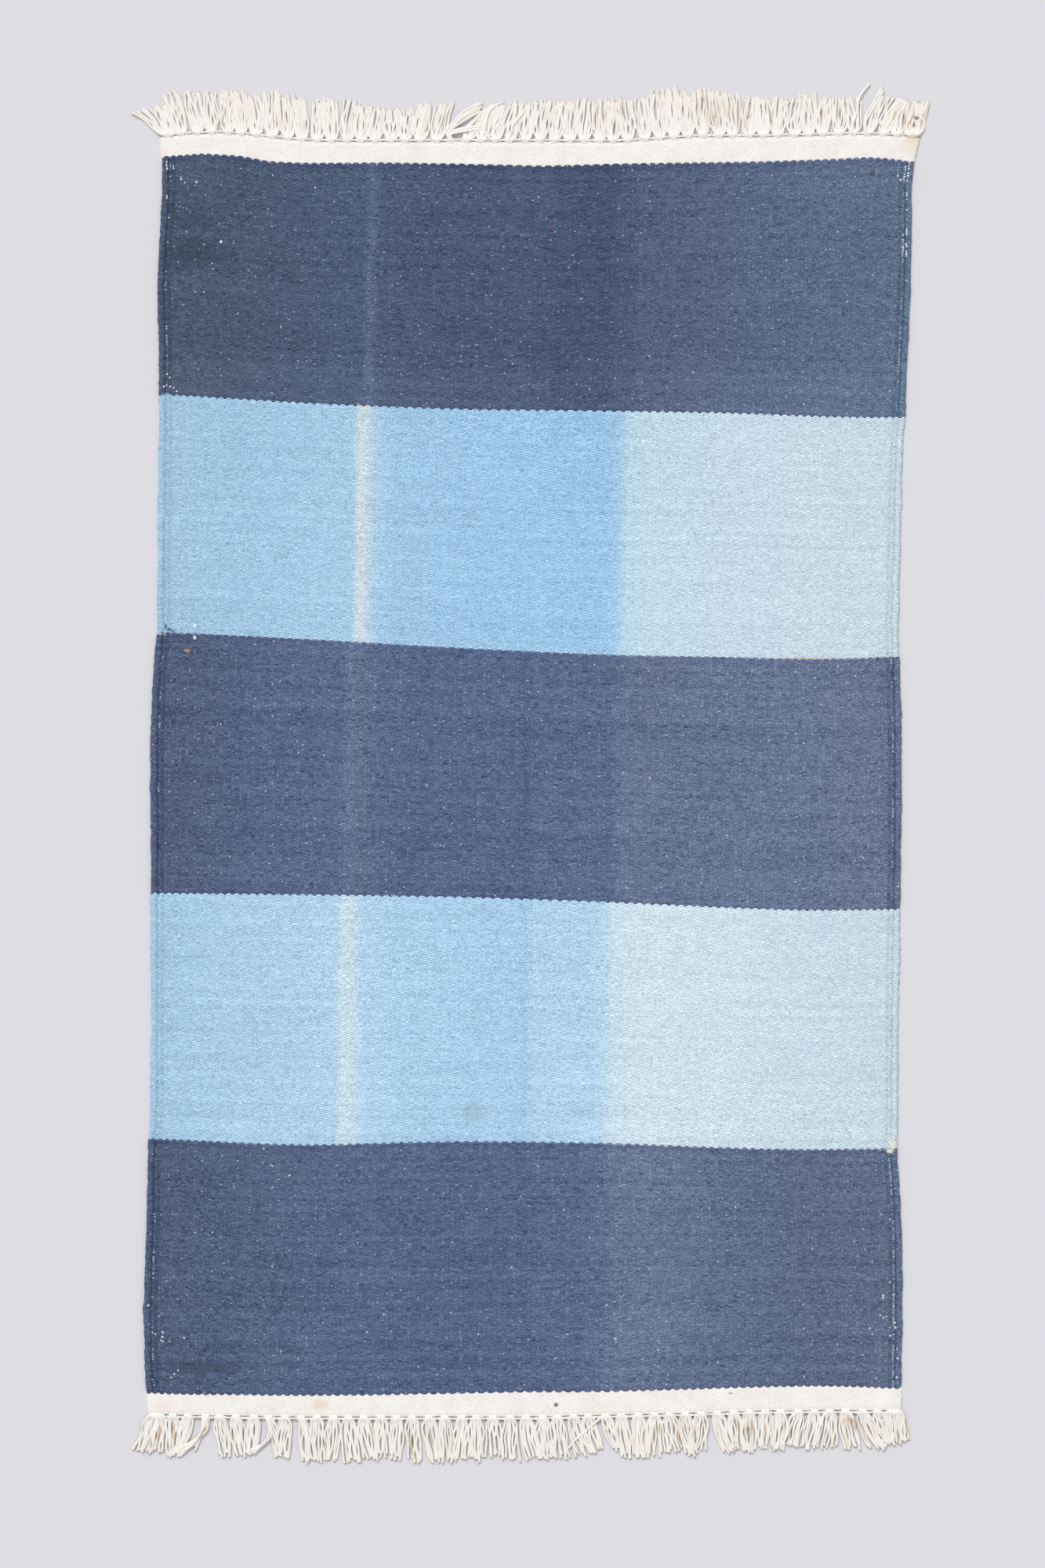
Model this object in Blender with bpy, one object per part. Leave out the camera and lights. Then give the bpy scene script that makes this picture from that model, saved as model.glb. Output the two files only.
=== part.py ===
"""Cotton kilim lying flat on the floor.

One weft-faced web of five dyed bands, rounded at its selvedges, lies between two cream end
webs. Along each end web the warps are knotted in bundles over a twined cord and cut to a short
fringe. X runs across the rug, Y along it and Z up, with the underside at Z = 0.
"""

import random
from collections import namedtuple

import bmesh
import bpy
import numpy as np

MM = 0.001

# Thicknesses over the floor, and the gap that parts an end web from the field.
FIELD_THICK = 0.0042
END_WEB_THICK = 0.0036
PIECE_GAP = 0.0003

# The selvedge is a thicker rib with a groove inside it. Shares of the width, and heights.
Rib = namedtuple("Rib", "across height")
SELVEDGE_RIB = [
    Rib(0.000, 0.0024),
    Rib(0.004, 0.0046),
    Rib(0.010, 0.0036),
    Rib(0.016, FIELD_THICK),
]

# An end web from its join to its rim, with a groove before the cord that runs along the rim.
# Shares of its depth, and heights.
WebRow = namedtuple("WebRow", "depth height")
END_WEB_ROWS = [
    WebRow(0.00, END_WEB_THICK),
    WebRow(0.82, END_WEB_THICK),
    WebRow(0.90, 0.0024),
    WebRow(1.00, 0.0032),
]

# Both long sides in millimetres, read up the rug from its near end.
Side = namedtuple("Side", "along left right")
SIDES = [
    Side(-600, -356.5, 346.5),
    Side(-562, -360.0, 346.0),
    Side(-503, -361.5, 346.5),
    Side(-416, -359.0, 346.5),
    Side(-357, -358.0, 342.5),
    Side(-298, -355.0, 343.0),
    Side(-181, -355.0, 344.0),
    Side(-64, -355.0, 346.0),
    Side(23, -355.0, 346.0),
    Side(82, -353.5, 345.0),
    Side(140, -349.0, 343.0),
    Side(287, -347.5, 346.5),
    Side(404, -347.5, 352.5),
    Side(462, -349.0, 355.0),
    Side(550, -344.0, 355.5),
    Side(576, -344.5, 358.0),
    Side(600, -346.0, 364.0),
]

# Warp bundles knotted along each end.
FAR_KNOTS = 51
NEAR_KNOTS = 47

# The crosswise lines at both ends in millimetres: where the dyed field meets the cream web, and
# the cream web's outer rim. A row lies between two knots of each end, that many from the left,
# and both sides of a join have vertices there, so they run parallel.
EndLine = namedtuple("EndLine", "near_knot near_rim near_join far_knot far_join far_rim")
END_LINES = [
    EndLine(0, -596.0, -574.0, 0, 578.5, 600.0),
    EndLine(2, -597.0, -575.5, 3, 581.5, 603.5),
    EndLine(5, -597.5, -575.5, 5, 579.5, 603.0),
    EndLine(9, -598.5, -576.5, 10, 573.5, 595.5),
    EndLine(14, -598.5, -576.0, 15, 573.0, 595.5),
    EndLine(19, -598.5, -574.5, 20, 572.0, 595.5),
    EndLine(24, -598.5, -573.0, 26, 570.0, 595.5),
    EndLine(28, -597.0, -573.0, 31, 572.0, 595.0),
    EndLine(33, -595.5, -571.0, 36, 573.0, 600.0),
    EndLine(38, -593.0, -568.5, 41, 574.0, 600.0),
    EndLine(42, -592.5, -567.5, 46, 576.5, 602.0),
    EndLine(45, -592.5, -568.5, 48, 578.0, 602.0),
    EndLine(47, -593.0, -570.5, 51, 573.5, 600.0),
]

# The dyed bands from the near end to the far end. Each join is given in millimetres at the left
# side, the middle and the right side of the band's far edge; the last band ends at the far join.
Band = namedtuple("Band", "dye rows far_left far_middle far_right")
BANDS = [
    Band("navy", 7, -338.0, -340.0, -346.5),
    Band("sky", 6, -108.5, -112.5, -123.0),
    Band("navy", 7, 134.5, 118.0, 109.5),
    Band("sky", 6, 357.0, 342.0, 336.0),
    Band("navy", 7, None, None, None),
]

# Soft swells of the cloth: centre, half widths and height in millimetres.
Swell = namedtuple("Swell", "x y half_x half_y height")
SWELLS = [
    Swell(295, 122, 70, 22, 1.1),
    Swell(-325, 228, 38, 20, 0.9),
    Swell(-270, -480, 80, 60, 0.6),
    Swell(60, 330, 160, 50, 0.5),
    Swell(230, -330, 110, 45, 0.6),
    Swell(-40, -180, 170, 60, 0.4),
]

# How far each knot stands out over the cord, and its size there.
KNOT_SHARE = 0.70
KnotSection = namedtuple("KnotSection", "out spread height")
KNOT_SECTIONS = [
    KnotSection(0.0018, 1.06, 0.0050),
    KnotSection(0.0045, 1.00, 0.0032),
]

# Every knot lets three locks of yarn go. A root's share is of its knot's width; along and bend
# are shares of the way to the tip, and fill is the share of the room between the neighbours.
LOCKS_PER_KNOT = 3
LOCK_ROOT_SHARE = 0.28
LockSection = namedtuple("LockSection", "along bend fill height")
LOCK_SECTIONS = [
    LockSection(0.45, 0.36, 0.84, 0.0030),
    LockSection(1.00, 1.00, 0.76, 0.0022),
]
REACH_SPREAD = 0.07
LEAN_SPREAD = 0.0006

# Heights and lines closer than this count as level with each other.
LEVEL = 0.00001

# How the fringe lies, from the left: how far its tips reach past the rim and how far they lean
# to the right, in millimetres.
Lie = namedtuple("Lie", "across reach lean")
FAR_LIE = [
    Lie(0.000, 21, -26),
    Lie(0.015, 32, -17),
    Lie(0.030, 37, -11),
    Lie(0.060, 35, -7),
    Lie(0.100, 37, -1),
    Lie(0.160, 41, 0),
    Lie(0.240, 39, 0),
    Lie(0.280, 32, 2),
    Lie(0.371, 32, 2),
    Lie(0.373, 36, 24),
    Lie(0.400, 30, 19),
    Lie(0.430, 33, 11),
    Lie(0.500, 35, 4),
    Lie(0.600, 39, 0),
    Lie(0.680, 44, -3),
    Lie(0.800, 38, 1),
    Lie(0.921, 36, 2),
    Lie(0.922, 33, 16),
    Lie(0.960, 32, 12),
    Lie(1.000, 28, 13),
]
NEAR_LIE = [
    Lie(0.000, 36, -16),
    Lie(0.040, 36, -9),
    Lie(0.084, 31, -11),
    Lie(0.086, 36, 8),
    Lie(0.150, 35, -3),
    Lie(0.200, 38, 0),
    Lie(0.400, 40, 2),
    Lie(0.550, 37, 7),
    Lie(0.600, 34, 11),
    Lie(0.660, 38, -2),
    Lie(0.700, 36, 9),
    Lie(0.800, 35, 3),
    Lie(0.890, 34, -5),
    Lie(0.950, 35, 8),
    Lie(0.980, 32, 2),
    Lie(1.000, 31, 8),
]

NAVY = (0.105, 0.150, 0.245)
SKY = (0.440, 0.620, 0.800)
CREAM = (0.910, 0.870, 0.820)


def column(table, name):
    """One named column of a table."""
    return [getattr(row, name) for row in table]


def read(table, key, name, at):
    """A table's column in metres, read between its rows."""
    return float(np.interp(at, column(table, key), column(table, name))) * MM


def across_cloth(share, along):
    """X at a share of the width, between the selvedges at this distance along the rug."""
    left = read(SIDES, "along", "left", along / MM)
    right = read(SIDES, "along", "right", along / MM)
    return left + (right - left) * share


def end_line(end, line, share):
    """Y of the join or the rim at one end."""
    knots = FAR_KNOTS if end == "far" else NEAR_KNOTS
    return read(END_LINES, end + "_knot", end + "_" + line, share * knots)


def band_edge(index, share):
    """Y of the far edge of a band: a curve through its left, middle and right."""
    if index < 0:
        return end_line("near", "join", share) + PIECE_GAP / 2
    if index == len(BANDS) - 1:
        return end_line("far", "join", share) - PIECE_GAP / 2
    band = BANDS[index]
    left = band.far_left * (1 - share) * (1 - 2 * share)
    middle = band.far_middle * 4 * share * (1 - share)
    right = band.far_right * share * (2 * share - 1)
    return (left + middle + right) * MM


def swell_height(x, y):
    """How far the soft swells lift the upper face."""
    height = 0.0
    for swell in SWELLS:
        over = (x / MM - swell.x) / swell.half_x
        along = (y / MM - swell.y) / swell.half_y
        height += swell.height * MM * np.exp(-over * over - along * along)
    return float(height)


def make_material(name, colour, roughness):
    """A matte dyed or natural cotton."""
    material = bpy.data.materials.new(name)
    material.use_nodes = True
    shader = material.node_tree.nodes["Principled BSDF"]
    shader.inputs["Base Color"].default_value = (*colour, 1.0)
    shader.inputs["Roughness"].default_value = roughness
    shader.inputs["Metallic"].default_value = 0.0
    return material


def make_grid(columns, rows):
    """A grid of faces, with a table of its vertices by column and row."""
    bm = bmesh.new()
    bmesh.ops.create_grid(bm, x_segments=columns, y_segments=rows, size=0.5)
    places = {}
    for vert in bm.verts:
        place = (round((vert.co.x + 0.5) * columns), round((vert.co.y + 0.5) * rows))
        places[place] = vert
    return bm, places


def close_underside(bm):
    """Drop a wall from the rim to the floor and close it with one flat face."""
    rim = [edge for edge in bm.edges if edge.is_boundary]
    wall = bmesh.ops.extrude_edge_only(bm, edges=rim)["geom"]
    for item in wall:
        if isinstance(item, bmesh.types.BMVert):
            item.co.z = 0.0
    bmesh.ops.contextual_create(bm, geom=[edge for edge in bm.edges if edge.is_boundary])
    bmesh.ops.recalc_face_normals(bm, faces=bm.faces)


def make_object(name, bm, materials, collection):
    """Turn the finished mesh into a named object."""
    mesh = bpy.data.meshes.new(name)
    bm.to_mesh(mesh)
    bm.free()
    for material in materials:
        mesh.materials.append(material)
    obj = bpy.data.objects.new(name, mesh)
    collection.objects.link(obj)
    return obj


def field_columns():
    """Column lines of the field, each with its share of the width at the near and the far end."""
    rib = [(share, share) for share in column(SELVEDGE_RIB, "across")]
    inner = []
    for row, after in zip(END_LINES, END_LINES[1:]):
        near, near_after = row.near_knot / NEAR_KNOTS, after.near_knot / NEAR_KNOTS
        far, far_after = row.far_knot / FAR_KNOTS, after.far_knot / FAR_KNOTS
        inner += [(near, far), ((near + near_after) / 2, (far + far_after) / 2)]
    return rib + inner[1:] + [(1 - share, 1 - share) for share, _ in reversed(rib)]


def rib_height(share):
    """Height of the field over the selvedge ribs, and its plain thickness between them."""
    from_edge = min(share, 1 - share)
    return float(np.interp(from_edge, column(SELVEDGE_RIB, "across"), column(SELVEDGE_RIB, "height")))


def make_field(collection, dyes):
    """The dyed web: five bands on the same warps, in one piece."""
    columns = field_columns()
    rows = [(-1, 0.0)]
    for index, band in enumerate(BANDS):
        rows += [(index - 1, (row + 1) / band.rows) for row in range(band.rows)]
    bm, places = make_grid(len(columns) - 1, len(rows) - 1)
    for (i, j), vert in places.items():
        near_share, far_share = columns[i]
        share = near_share + (far_share - near_share) * j / (len(rows) - 1)
        band, part = rows[j]
        y = band_edge(band, share) * (1 - part)
        if part > 0.0:
            y += band_edge(band + 1, share) * part
        x = across_cloth(share, y)
        vert.co = (x, y, rib_height(share) + swell_height(x, y))
    row_dyes = [list(dyes).index(band.dye) for band in BANDS for row in range(band.rows)]
    row_of = {vert: j for (i, j), vert in places.items()}
    for face in bm.faces:
        face.material_index = row_dyes[min(row_of[vert] for vert in face.verts)]
    close_underside(bm)
    return make_object("dyed_field", bm, dyes.values(), collection)


def shape_section(face, x, y, width, height):
    """Set an upright four-cornered section: its middle, its width and its height."""
    middle = face.calc_center_median()
    for vert in face.verts:
        side = 1 if vert.co.x > middle.x else -1
        top = vert.co.z > middle.z
        vert.co = (x + side * width / 2, y, height if top else 0.0)


def extrude_sections(bm, faces):
    """Draw each section out by itself, in order from the left."""
    new = bmesh.ops.extrude_discrete_faces(bm, faces=faces)["faces"]
    return sorted(new, key=lambda face: face.calc_center_median().x)


def end_web_columns(end, knots):
    """Column lines of an end web: both sides of every knot, and the rows of the end's table."""
    lines = [knot / knots for knot in column(END_LINES, end + "_knot")]
    for knot in range(knots):
        lines += [(knot + 0.5 - KNOT_SHARE / 2) / knots, (knot + 0.5 + KNOT_SHARE / 2) / knots]
    return sorted(lines)


def rim_wall(bm, left, right):
    """The upright face under one stretch of the rim."""
    edge = bm.edges.get((left, right))
    return min(edge.link_faces, key=lambda face: face.calc_center_median().z)


def lock_roots(bm, fronts, outward):
    """Divide every knot's front face into lock roots with narrow faces between them."""
    knots = []
    level_edges = []
    for face in fronts:
        xs = [vert.co.x for vert in face.verts]
        knots.append((min(xs), max(xs), face.calc_center_median().y))
        for edge in face.edges:
            if abs(edge.verts[0].co.z - edge.verts[1].co.z) < LEVEL:
                level_edges.append(edge)
    bmesh.ops.subdivide_edges(bm, edges=level_edges, cuts=2 * LOCKS_PER_KNOT - 2, use_grid_fill=True)
    bm.normal_update()
    roots = []
    outer = [(face.calc_center_median(), face) for face in bm.faces if face.normal.y * outward > 0.9]
    outer.sort(key=lambda item: item[0].x)
    for low_x, high_x, y in knots:
        pieces = [face for at, face in outer if low_x < at.x < high_x and abs(at.y - y) < LEVEL]
        lock = (high_x - low_x) * LOCK_ROOT_SHARE
        space = (high_x - low_x - LOCKS_PER_KNOT * lock) / (LOCKS_PER_KNOT - 1)
        for index, face in enumerate(pieces[::2]):
            middle = low_x + index * (lock + space) + lock / 2
            shape_section(face, middle, y, lock, KNOT_SECTIONS[-1].height)
            roots.append(face)
    return roots


def lock_tips(end, locks, lie, rng):
    """Where every lock ends: its X, and how far it reaches past the rim."""
    tips = []
    for lock in range(locks):
        share = (lock + 0.5) / locks
        lean = read(lie, "across", "lean", share) + rng.uniform(-1, 1) * LEAN_SPREAD
        reach = read(lie, "across", "reach", share) * (1 + rng.uniform(-1, 1) * REACH_SPREAD)
        tips.append((across_cloth(share, end_line(end, "rim", share)) + lean, reach))
    return tips


def room_around(positions, index):
    """Distance to the nearer neighbour."""
    neighbours = [other for other in (index - 1, index + 1) if 0 <= other < len(positions)]
    return min(abs(positions[index] - positions[other]) for other in neighbours)


def make_locks(bm, roots, tips, outward, knot_out):
    """Draw the locks out along the floor, each a little apart from the next."""
    root_x = [face.calc_center_median().x for face in roots]
    root_y = [face.calc_center_median().y for face in roots]
    faces = roots
    for section in LOCK_SECTIONS:
        xs = [start + (tip[0] - start) * section.bend for start, tip in zip(root_x, tips)]
        faces = extrude_sections(bm, faces)
        for index, face in enumerate(faces):
            y = root_y[index] + outward * (tips[index][1] - knot_out) * section.along
            width = room_around(xs, index) * section.fill
            shape_section(face, xs[index], y, width, section.height)


def make_end(end, knots, lie, outward, seed, material, collection):
    """One end: the cream web, the cord along its rim, and the knotted warps with their locks."""
    columns = end_web_columns(end, knots)
    last_row = len(END_WEB_ROWS) - 1
    bm, places = make_grid(len(columns) - 1, last_row)
    for (i, j), vert in places.items():
        row = END_WEB_ROWS[j]
        join = end_line(end, "join", columns[i]) + outward * PIECE_GAP / 2
        y = join + (end_line(end, "rim", columns[i]) - join) * row.depth
        vert.co = (across_cloth(columns[i], y), y, row.height)
    close_underside(bm)
    fronts = []
    bases = []
    for i, share in enumerate(columns[:-1]):
        left, right = places[i, last_row], places[i + 1, last_row]
        if abs(columns[i + 1] - share - KNOT_SHARE / knots) < LEVEL:
            fronts.append(rim_wall(bm, left, right))
            bases.append(((left.co + right.co) / 2, right.co.x - left.co.x))
    for section in KNOT_SECTIONS:
        fronts = extrude_sections(bm, fronts)
        for face, (middle, width) in zip(fronts, bases):
            y = middle.y + outward * section.out
            shape_section(face, middle.x, y, width * section.spread, section.height)
    roots = lock_roots(bm, fronts, outward)
    tips = lock_tips(end, len(roots), lie, random.Random(seed))
    make_locks(bm, roots, tips, outward, KNOT_SECTIONS[-1].out)
    bmesh.ops.recalc_face_normals(bm, faces=bm.faces)
    return make_object(end + "_end", bm, [material], collection)


def main():
    for obj in list(bpy.data.objects):
        bpy.data.objects.remove(obj, do_unlink=True)
    kilim = bpy.data.collections.new("cotton_kilim")
    bpy.context.scene.collection.children.link(kilim)
    dyes = {"navy": make_material("navy_cotton", NAVY, 0.92), "sky": make_material("sky_cotton", SKY, 0.92)}
    cream = make_material("cream_cotton", CREAM, 0.90)
    make_field(kilim, dyes)
    make_end("far", FAR_KNOTS, FAR_LIE, 1, 11, cream, kilim)
    make_end("near", NEAR_KNOTS, NEAR_LIE, -1, 23, cream, kilim)


main()
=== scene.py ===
import math
import random

import bmesh
import bpy
import numpy as np
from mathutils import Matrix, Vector


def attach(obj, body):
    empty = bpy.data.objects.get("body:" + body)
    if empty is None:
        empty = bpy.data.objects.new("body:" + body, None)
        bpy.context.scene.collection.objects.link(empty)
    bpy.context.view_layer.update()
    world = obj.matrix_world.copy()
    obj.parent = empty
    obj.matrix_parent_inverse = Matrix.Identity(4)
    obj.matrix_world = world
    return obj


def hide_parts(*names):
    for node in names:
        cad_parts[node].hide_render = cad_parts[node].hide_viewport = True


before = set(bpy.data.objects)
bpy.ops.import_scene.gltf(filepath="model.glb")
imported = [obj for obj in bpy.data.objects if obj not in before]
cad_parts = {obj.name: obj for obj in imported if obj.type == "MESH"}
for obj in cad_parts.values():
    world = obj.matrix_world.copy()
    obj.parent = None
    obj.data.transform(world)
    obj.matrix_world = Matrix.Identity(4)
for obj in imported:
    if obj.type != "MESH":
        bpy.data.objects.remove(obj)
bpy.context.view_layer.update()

# A cotton kilim lying flat, seen from above: five dyed bands woven weft-faced, a twined cream
# web at each end, and the warps knotted over a cord and cut to a fringe. The frame is in metres,
# with X across the rug, Y up its length and Z up off the floor.

mm = 0.001
stageScene = bpy.context.scene

# The outline and the lines across the rug repeat the part's source, in mm.
rug = {
    "columns": 180,            # warps from selvedge to selvedge
    "bandRows": [107, 103, 105, 102, 105],
    "knots": {"near": 47, "far": 51},
    "clothHeight": 4.2,
    "relief": 0.62,            # how far a weft bump stands over the joints round it
    "reliefSpread": 0.25,
    "sideRounding": 8,
    # distance up the rug, left edge, right edge
    "sides": [
        (-600, -356.5, 346.5), (-562, -360, 346), (-503, -361.5, 346.5), (-416, -359, 346.5),
        (-357, -358, 342.5), (-298, -355, 343), (-181, -355, 344), (-64, -355, 346),
        (23, -355, 346), (82, -353.5, 345), (140, -349, 343), (287, -347.5, 346.5),
        (404, -347.5, 352.5), (462, -349, 355), (550, -344, 355.5), (576, -344.5, 358),
        (600, -346, 364),
    ],
    # share of the width, distance between two warps there
    "warpPitch": [
        (0, 3.0), (0.05, 3.3), (0.13, 3.7), (0.28, 3.75), (0.4, 4.3),
        (0.6, 4.35), (0.67, 3.75), (0.8, 3.7), (0.95, 3.3), (1, 3.0),
    ],
    # share of the width, height over the selvedge rib and its groove
    "selvedgeRib": [(0, 2.9), (0.004, 4.6), (0.009, 3.6), (0.015, 4.2)],
    # near knot, near rim, near join, far knot, far rim
    "endLines": [
        (0, -596, -574, 0, 600), (2, -597, -575.5, 3, 603.5), (5, -597.5, -575.5, 5, 603),
        (9, -598.5, -576.5, 10, 595.5), (14, -598.5, -576, 15, 595.5), (19, -598.5, -574.5, 20, 595.5),
        (24, -598.5, -573, 26, 595.5), (28, -597, -573, 31, 595), (33, -595.5, -571, 36, 600),
        (38, -593, -568.5, 41, 600), (42, -592.5, -567.5, 46, 602), (45, -592.5, -568.5, 48, 602),
        (47, -593, -570.5, 51, 600),
    ],
    # the far join: share of the width and distance up the rug
    "farJoin": [
        (0, 578.6), (0.055, 581.4), (0.104, 579.4), (0.141, 574.2), (0.193, 572.6), (0.29, 573.0),
        (0.39, 572.0), (0.51, 570.0), (0.61, 572.0), (0.71, 573.0), (0.8, 574.0), (0.9, 576.5),
        (0.94, 578.0), (0.97, 576.4), (1, 573.5),
    ],
    # the four joins between the bands at these shares of the width
    "joinShares": [0, 0.2, 0.4, 0.6, 0.8, 0.9, 1],
    "joins": [
        [-337.2, -344.5, -340.1, -341.6, -347.1, -348.2, -346.7],
        [-108.3, -109.7, -111.6, -116.3, -122.9, -125.1, -122.9],
        [135.3, 128.4, 120.3, 113.4, 111.2, 108.3, 112.7],
        [357.7, 348.6, 343.1, 341.6, 339.4, 335.4, 335.8],
    ],
    # from the near web to the far one: how deep the joins are scalloped, and by how much the
    # lobes that point up the rug are wider than those that point down it
    "scallops": [(0.8, -0.14), (0.25, -0.08), (0.4, 0.12), (-0.4, 0.0), (0.4, 0.12), (0.6, 0.16)],
    # soft swells: middle, half widths and height
    "swells": [
        (295, 122, 70, 22, 1.1), (-325, 228, 38, 20, 0.9), (-270, -480, 80, 60, 0.6),
        (60, 330, 160, 50, 0.5), (230, -330, 110, 45, 0.6), (-40, -180, 170, 60, 0.4),
    ],
}


def readTable(table, at, value=1, spread=0.0, place=0):
    # a table read between its rows, rounded over the spread
    places = [row[place] for row in table]
    values = [row[value] for row in table]
    if not spread:
        return np.interp(at, places, values)
    taps = [np.interp(at + step * spread, places, values) for step in (-1, -0.5, 0, 0.5, 1)]
    return sum(taps) / len(taps)


def wander(at, cell, seed):
    # smooth noise between -1 and 1 that changes about once in every cell
    knots = np.random.default_rng(seed).uniform(-1, 1, 4096)
    place = np.asarray(at, float) / cell + 1024
    low = np.floor(place).astype(int)
    part = place - low
    part = part * part * (3 - 2 * part)
    return knots[low % 4096] * (1 - part) + knots[(low + 1) % 4096] * part


def warpShare(warp):
    # share of the width at a warp number, closer together towards the selvedges
    shares = np.linspace(0, 1, 1001)
    pitch = readTable(rug["warpPitch"], shares)
    count = np.concatenate([[0], np.cumsum(2 / (pitch[1:] + pitch[:-1]))])
    # the outermost bumps are drawn in, so that the selvedge is nearly even
    half = rug["columns"] / 2
    fromMiddle = np.abs(warp - half)
    outer = np.clip((fromMiddle - half + 0.5) / (2 / 3), 0, 1)
    fromMiddle = np.minimum(fromMiddle, half - 0.5) + 0.5 * outer ** 0.35
    drawn = half + np.sign(warp - half) * fromMiddle
    return np.interp(drawn / rug["columns"], count / count[-1], shares)


def acrossCloth(share, y):
    left, right = (readTable(rug["sides"], y, side, rug["sideRounding"]) for side in (1, 2))
    return left + (right - left) * share


def endLine(end, line, share):
    if (end, line) == ("far", "join"):
        return readTable(rug["farJoin"], share, 1, 0.008)
    place, value = {("near", "rim"): (0, 1), ("near", "join"): (0, 2), ("far", "rim"): (3, 4)}[end, line]
    return readTable(rug["endLines"], share * rug["knots"][end], value, 1.2, place)


def joinLine(index, share):
    # the line between two bands; the first and the last are where the cream webs begin
    if index in (0, len(rug["bandRows"])):
        return endLine("far" if index else "near", "join", share)
    return readTable(list(zip(rug["joinShares"], rug["joins"][index - 1])), share, 1, 0.06)


def clothHeight(share, x, y):
    height = readTable(rug["selvedgeRib"], np.minimum(share, 1 - share))
    for middleX, middleY, halfX, halfY, rise in rug["swells"]:
        height = height + rise * np.exp(-((x - middleX) / halfX) ** 2 - ((y - middleY) / halfY) ** 2)
    return height


def layWeave(warp, row):
    # from a warp number and a pick number to mm on the rug: share, x, y
    joinRows = np.concatenate([[0], np.cumsum(rug["bandRows"])])
    lobe = np.cos(np.pi * (warp - 1.5) / 2) ** 2 - 0.5
    shift = np.zeros_like(warp)
    lift = np.zeros_like(warp)
    # each join is scalloped from warp to warp, and the waves die out within a few picks
    for joinRow, (depth, widen) in zip(joinRows, rug["scallops"]):
        nearJoin = np.exp(-np.abs(row - joinRow) / 1.8)
        shift += widen * nearJoin * np.sin(np.pi * (warp - 1.5))
        lift += depth * nearJoin * lobe * (1 + 0.35 * wander(warp, 1.7, int(joinRow) + 5))
    share = warpShare(warp + shift)
    band = np.clip(np.searchsorted(joinRows, row, side="right") - 1, 0, len(rug["bandRows"]) - 1)
    lines = np.array([joinLine(index, share) for index in range(len(joinRows))])
    pick = np.arange(len(share))
    low, high = lines[band, pick], lines[band + 1, pick]
    y = low + (high - low) * (row - joinRows[band]) / np.array(rug["bandRows"])[band]
    # picks sway a little between the joins
    drift = 0.9 * wander(warp, 17, 3) * wander(row, 31, 4) + 0.35 * wander(warp, 5, 7) * wander(row, 9, 8)
    inBand = np.min([np.abs(row - joinRow) for joinRow in joinRows], axis=0)
    y = y + lift + drift * np.clip(inBand / 12, 0, 1)
    share = share + 0.0006 * wander(row, 7, 11) * wander(warp, 6, 12)
    x = acrossCloth(share, y)
    atSelvedge = np.exp(-np.minimum(share, 1 - share) / 0.006)
    x = x + atSelvedge * (0.45 * wander(row, 1.6, 21) + 0.5 * wander(row, 14, 22)) * np.sign(share - 0.5)
    return share, x, y


# Nodes for the trees and the materials

def feed(tree, socket, value):
    # a socket takes a link from another socket, or a plain value
    if isinstance(value, bpy.types.NodeSocket):
        tree.links.new(value, socket)
    else:
        socket.default_value = value


def addNode(tree, kind, inputs=None, **settings):
    node = tree.nodes.new(kind)
    for name, value in settings.items():
        setattr(node, name, value)
    for name, value in (inputs or {}).items():
        feed(tree, node.inputs[name], value)
    return node


def calc(tree, operation, first, second=0.0, third=0.0):
    values = {0: first, 1: second, 2: third}
    return addNode(tree, "ShaderNodeMath", values, operation=operation).outputs[0]


def vectorCalc(tree, operation, *values):
    node = addNode(tree, "ShaderNodeVectorMath", dict(enumerate(values)), operation=operation)
    return node.outputs["Value" if operation == "LENGTH" else "Vector"]


def splitVector(tree, vector):
    return addNode(tree, "ShaderNodeSeparateXYZ", {"Vector": vector}).outputs


def joinVector(tree, x=0.0, y=0.0, z=0.0):
    return addNode(tree, "ShaderNodeCombineXYZ", {"X": x, "Y": y, "Z": z}).outputs[0]


def geo(tree, kind, inputs=None, **settings):
    # the first output of a new Geometry Nodes node
    return addNode(tree, "GeometryNode" + kind, inputs, **settings).outputs[0]


def newTree(name, inputs):
    tree = bpy.data.node_groups.new(name, "GeometryNodeTree")
    tree.is_modifier = True
    tree.interface.new_socket(name="Geometry", in_out="OUTPUT", socket_type="NodeSocketGeometry")
    for label, kind in inputs.items():
        tree.interface.new_socket(name=label, in_out="INPUT", socket_type="NodeSocket" + kind)
    return tree, addNode(tree, "NodeGroupInput").outputs


def endTree(tree, geometry, given):
    realized = addNode(tree, "GeometryNodeRealizeInstances", {"Geometry": geometry})
    finished = addNode(tree, "GeometryNodeSetMaterial", {
        "Geometry": realized.outputs[0], "Material": given["Material"]})
    addNode(tree, "NodeGroupOutput", {"Geometry": finished.outputs[0]})
    return tree


def runTree(tree, values, source=None):
    # the tree's result as a plain mesh, with nothing left live
    holder = bpy.data.objects.new("holder", source or bpy.data.meshes.new("holder"))
    modifier = holder.modifiers.new(tree.name, "NODES")
    modifier.node_group = tree
    for item in tree.interface.items_tree:
        if item.item_type == "SOCKET" and item.in_out == "INPUT" and item.name in values:
            modifier[item.identifier] = values[item.name]
    stageScene.collection.objects.link(holder)
    depsgraph = bpy.context.evaluated_depsgraph_get()
    mesh = bpy.data.meshes.new_from_object(
        holder.evaluated_get(depsgraph), preserve_all_data_layers=True, depsgraph=depsgraph)
    bpy.data.objects.remove(holder)
    return mesh


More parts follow.
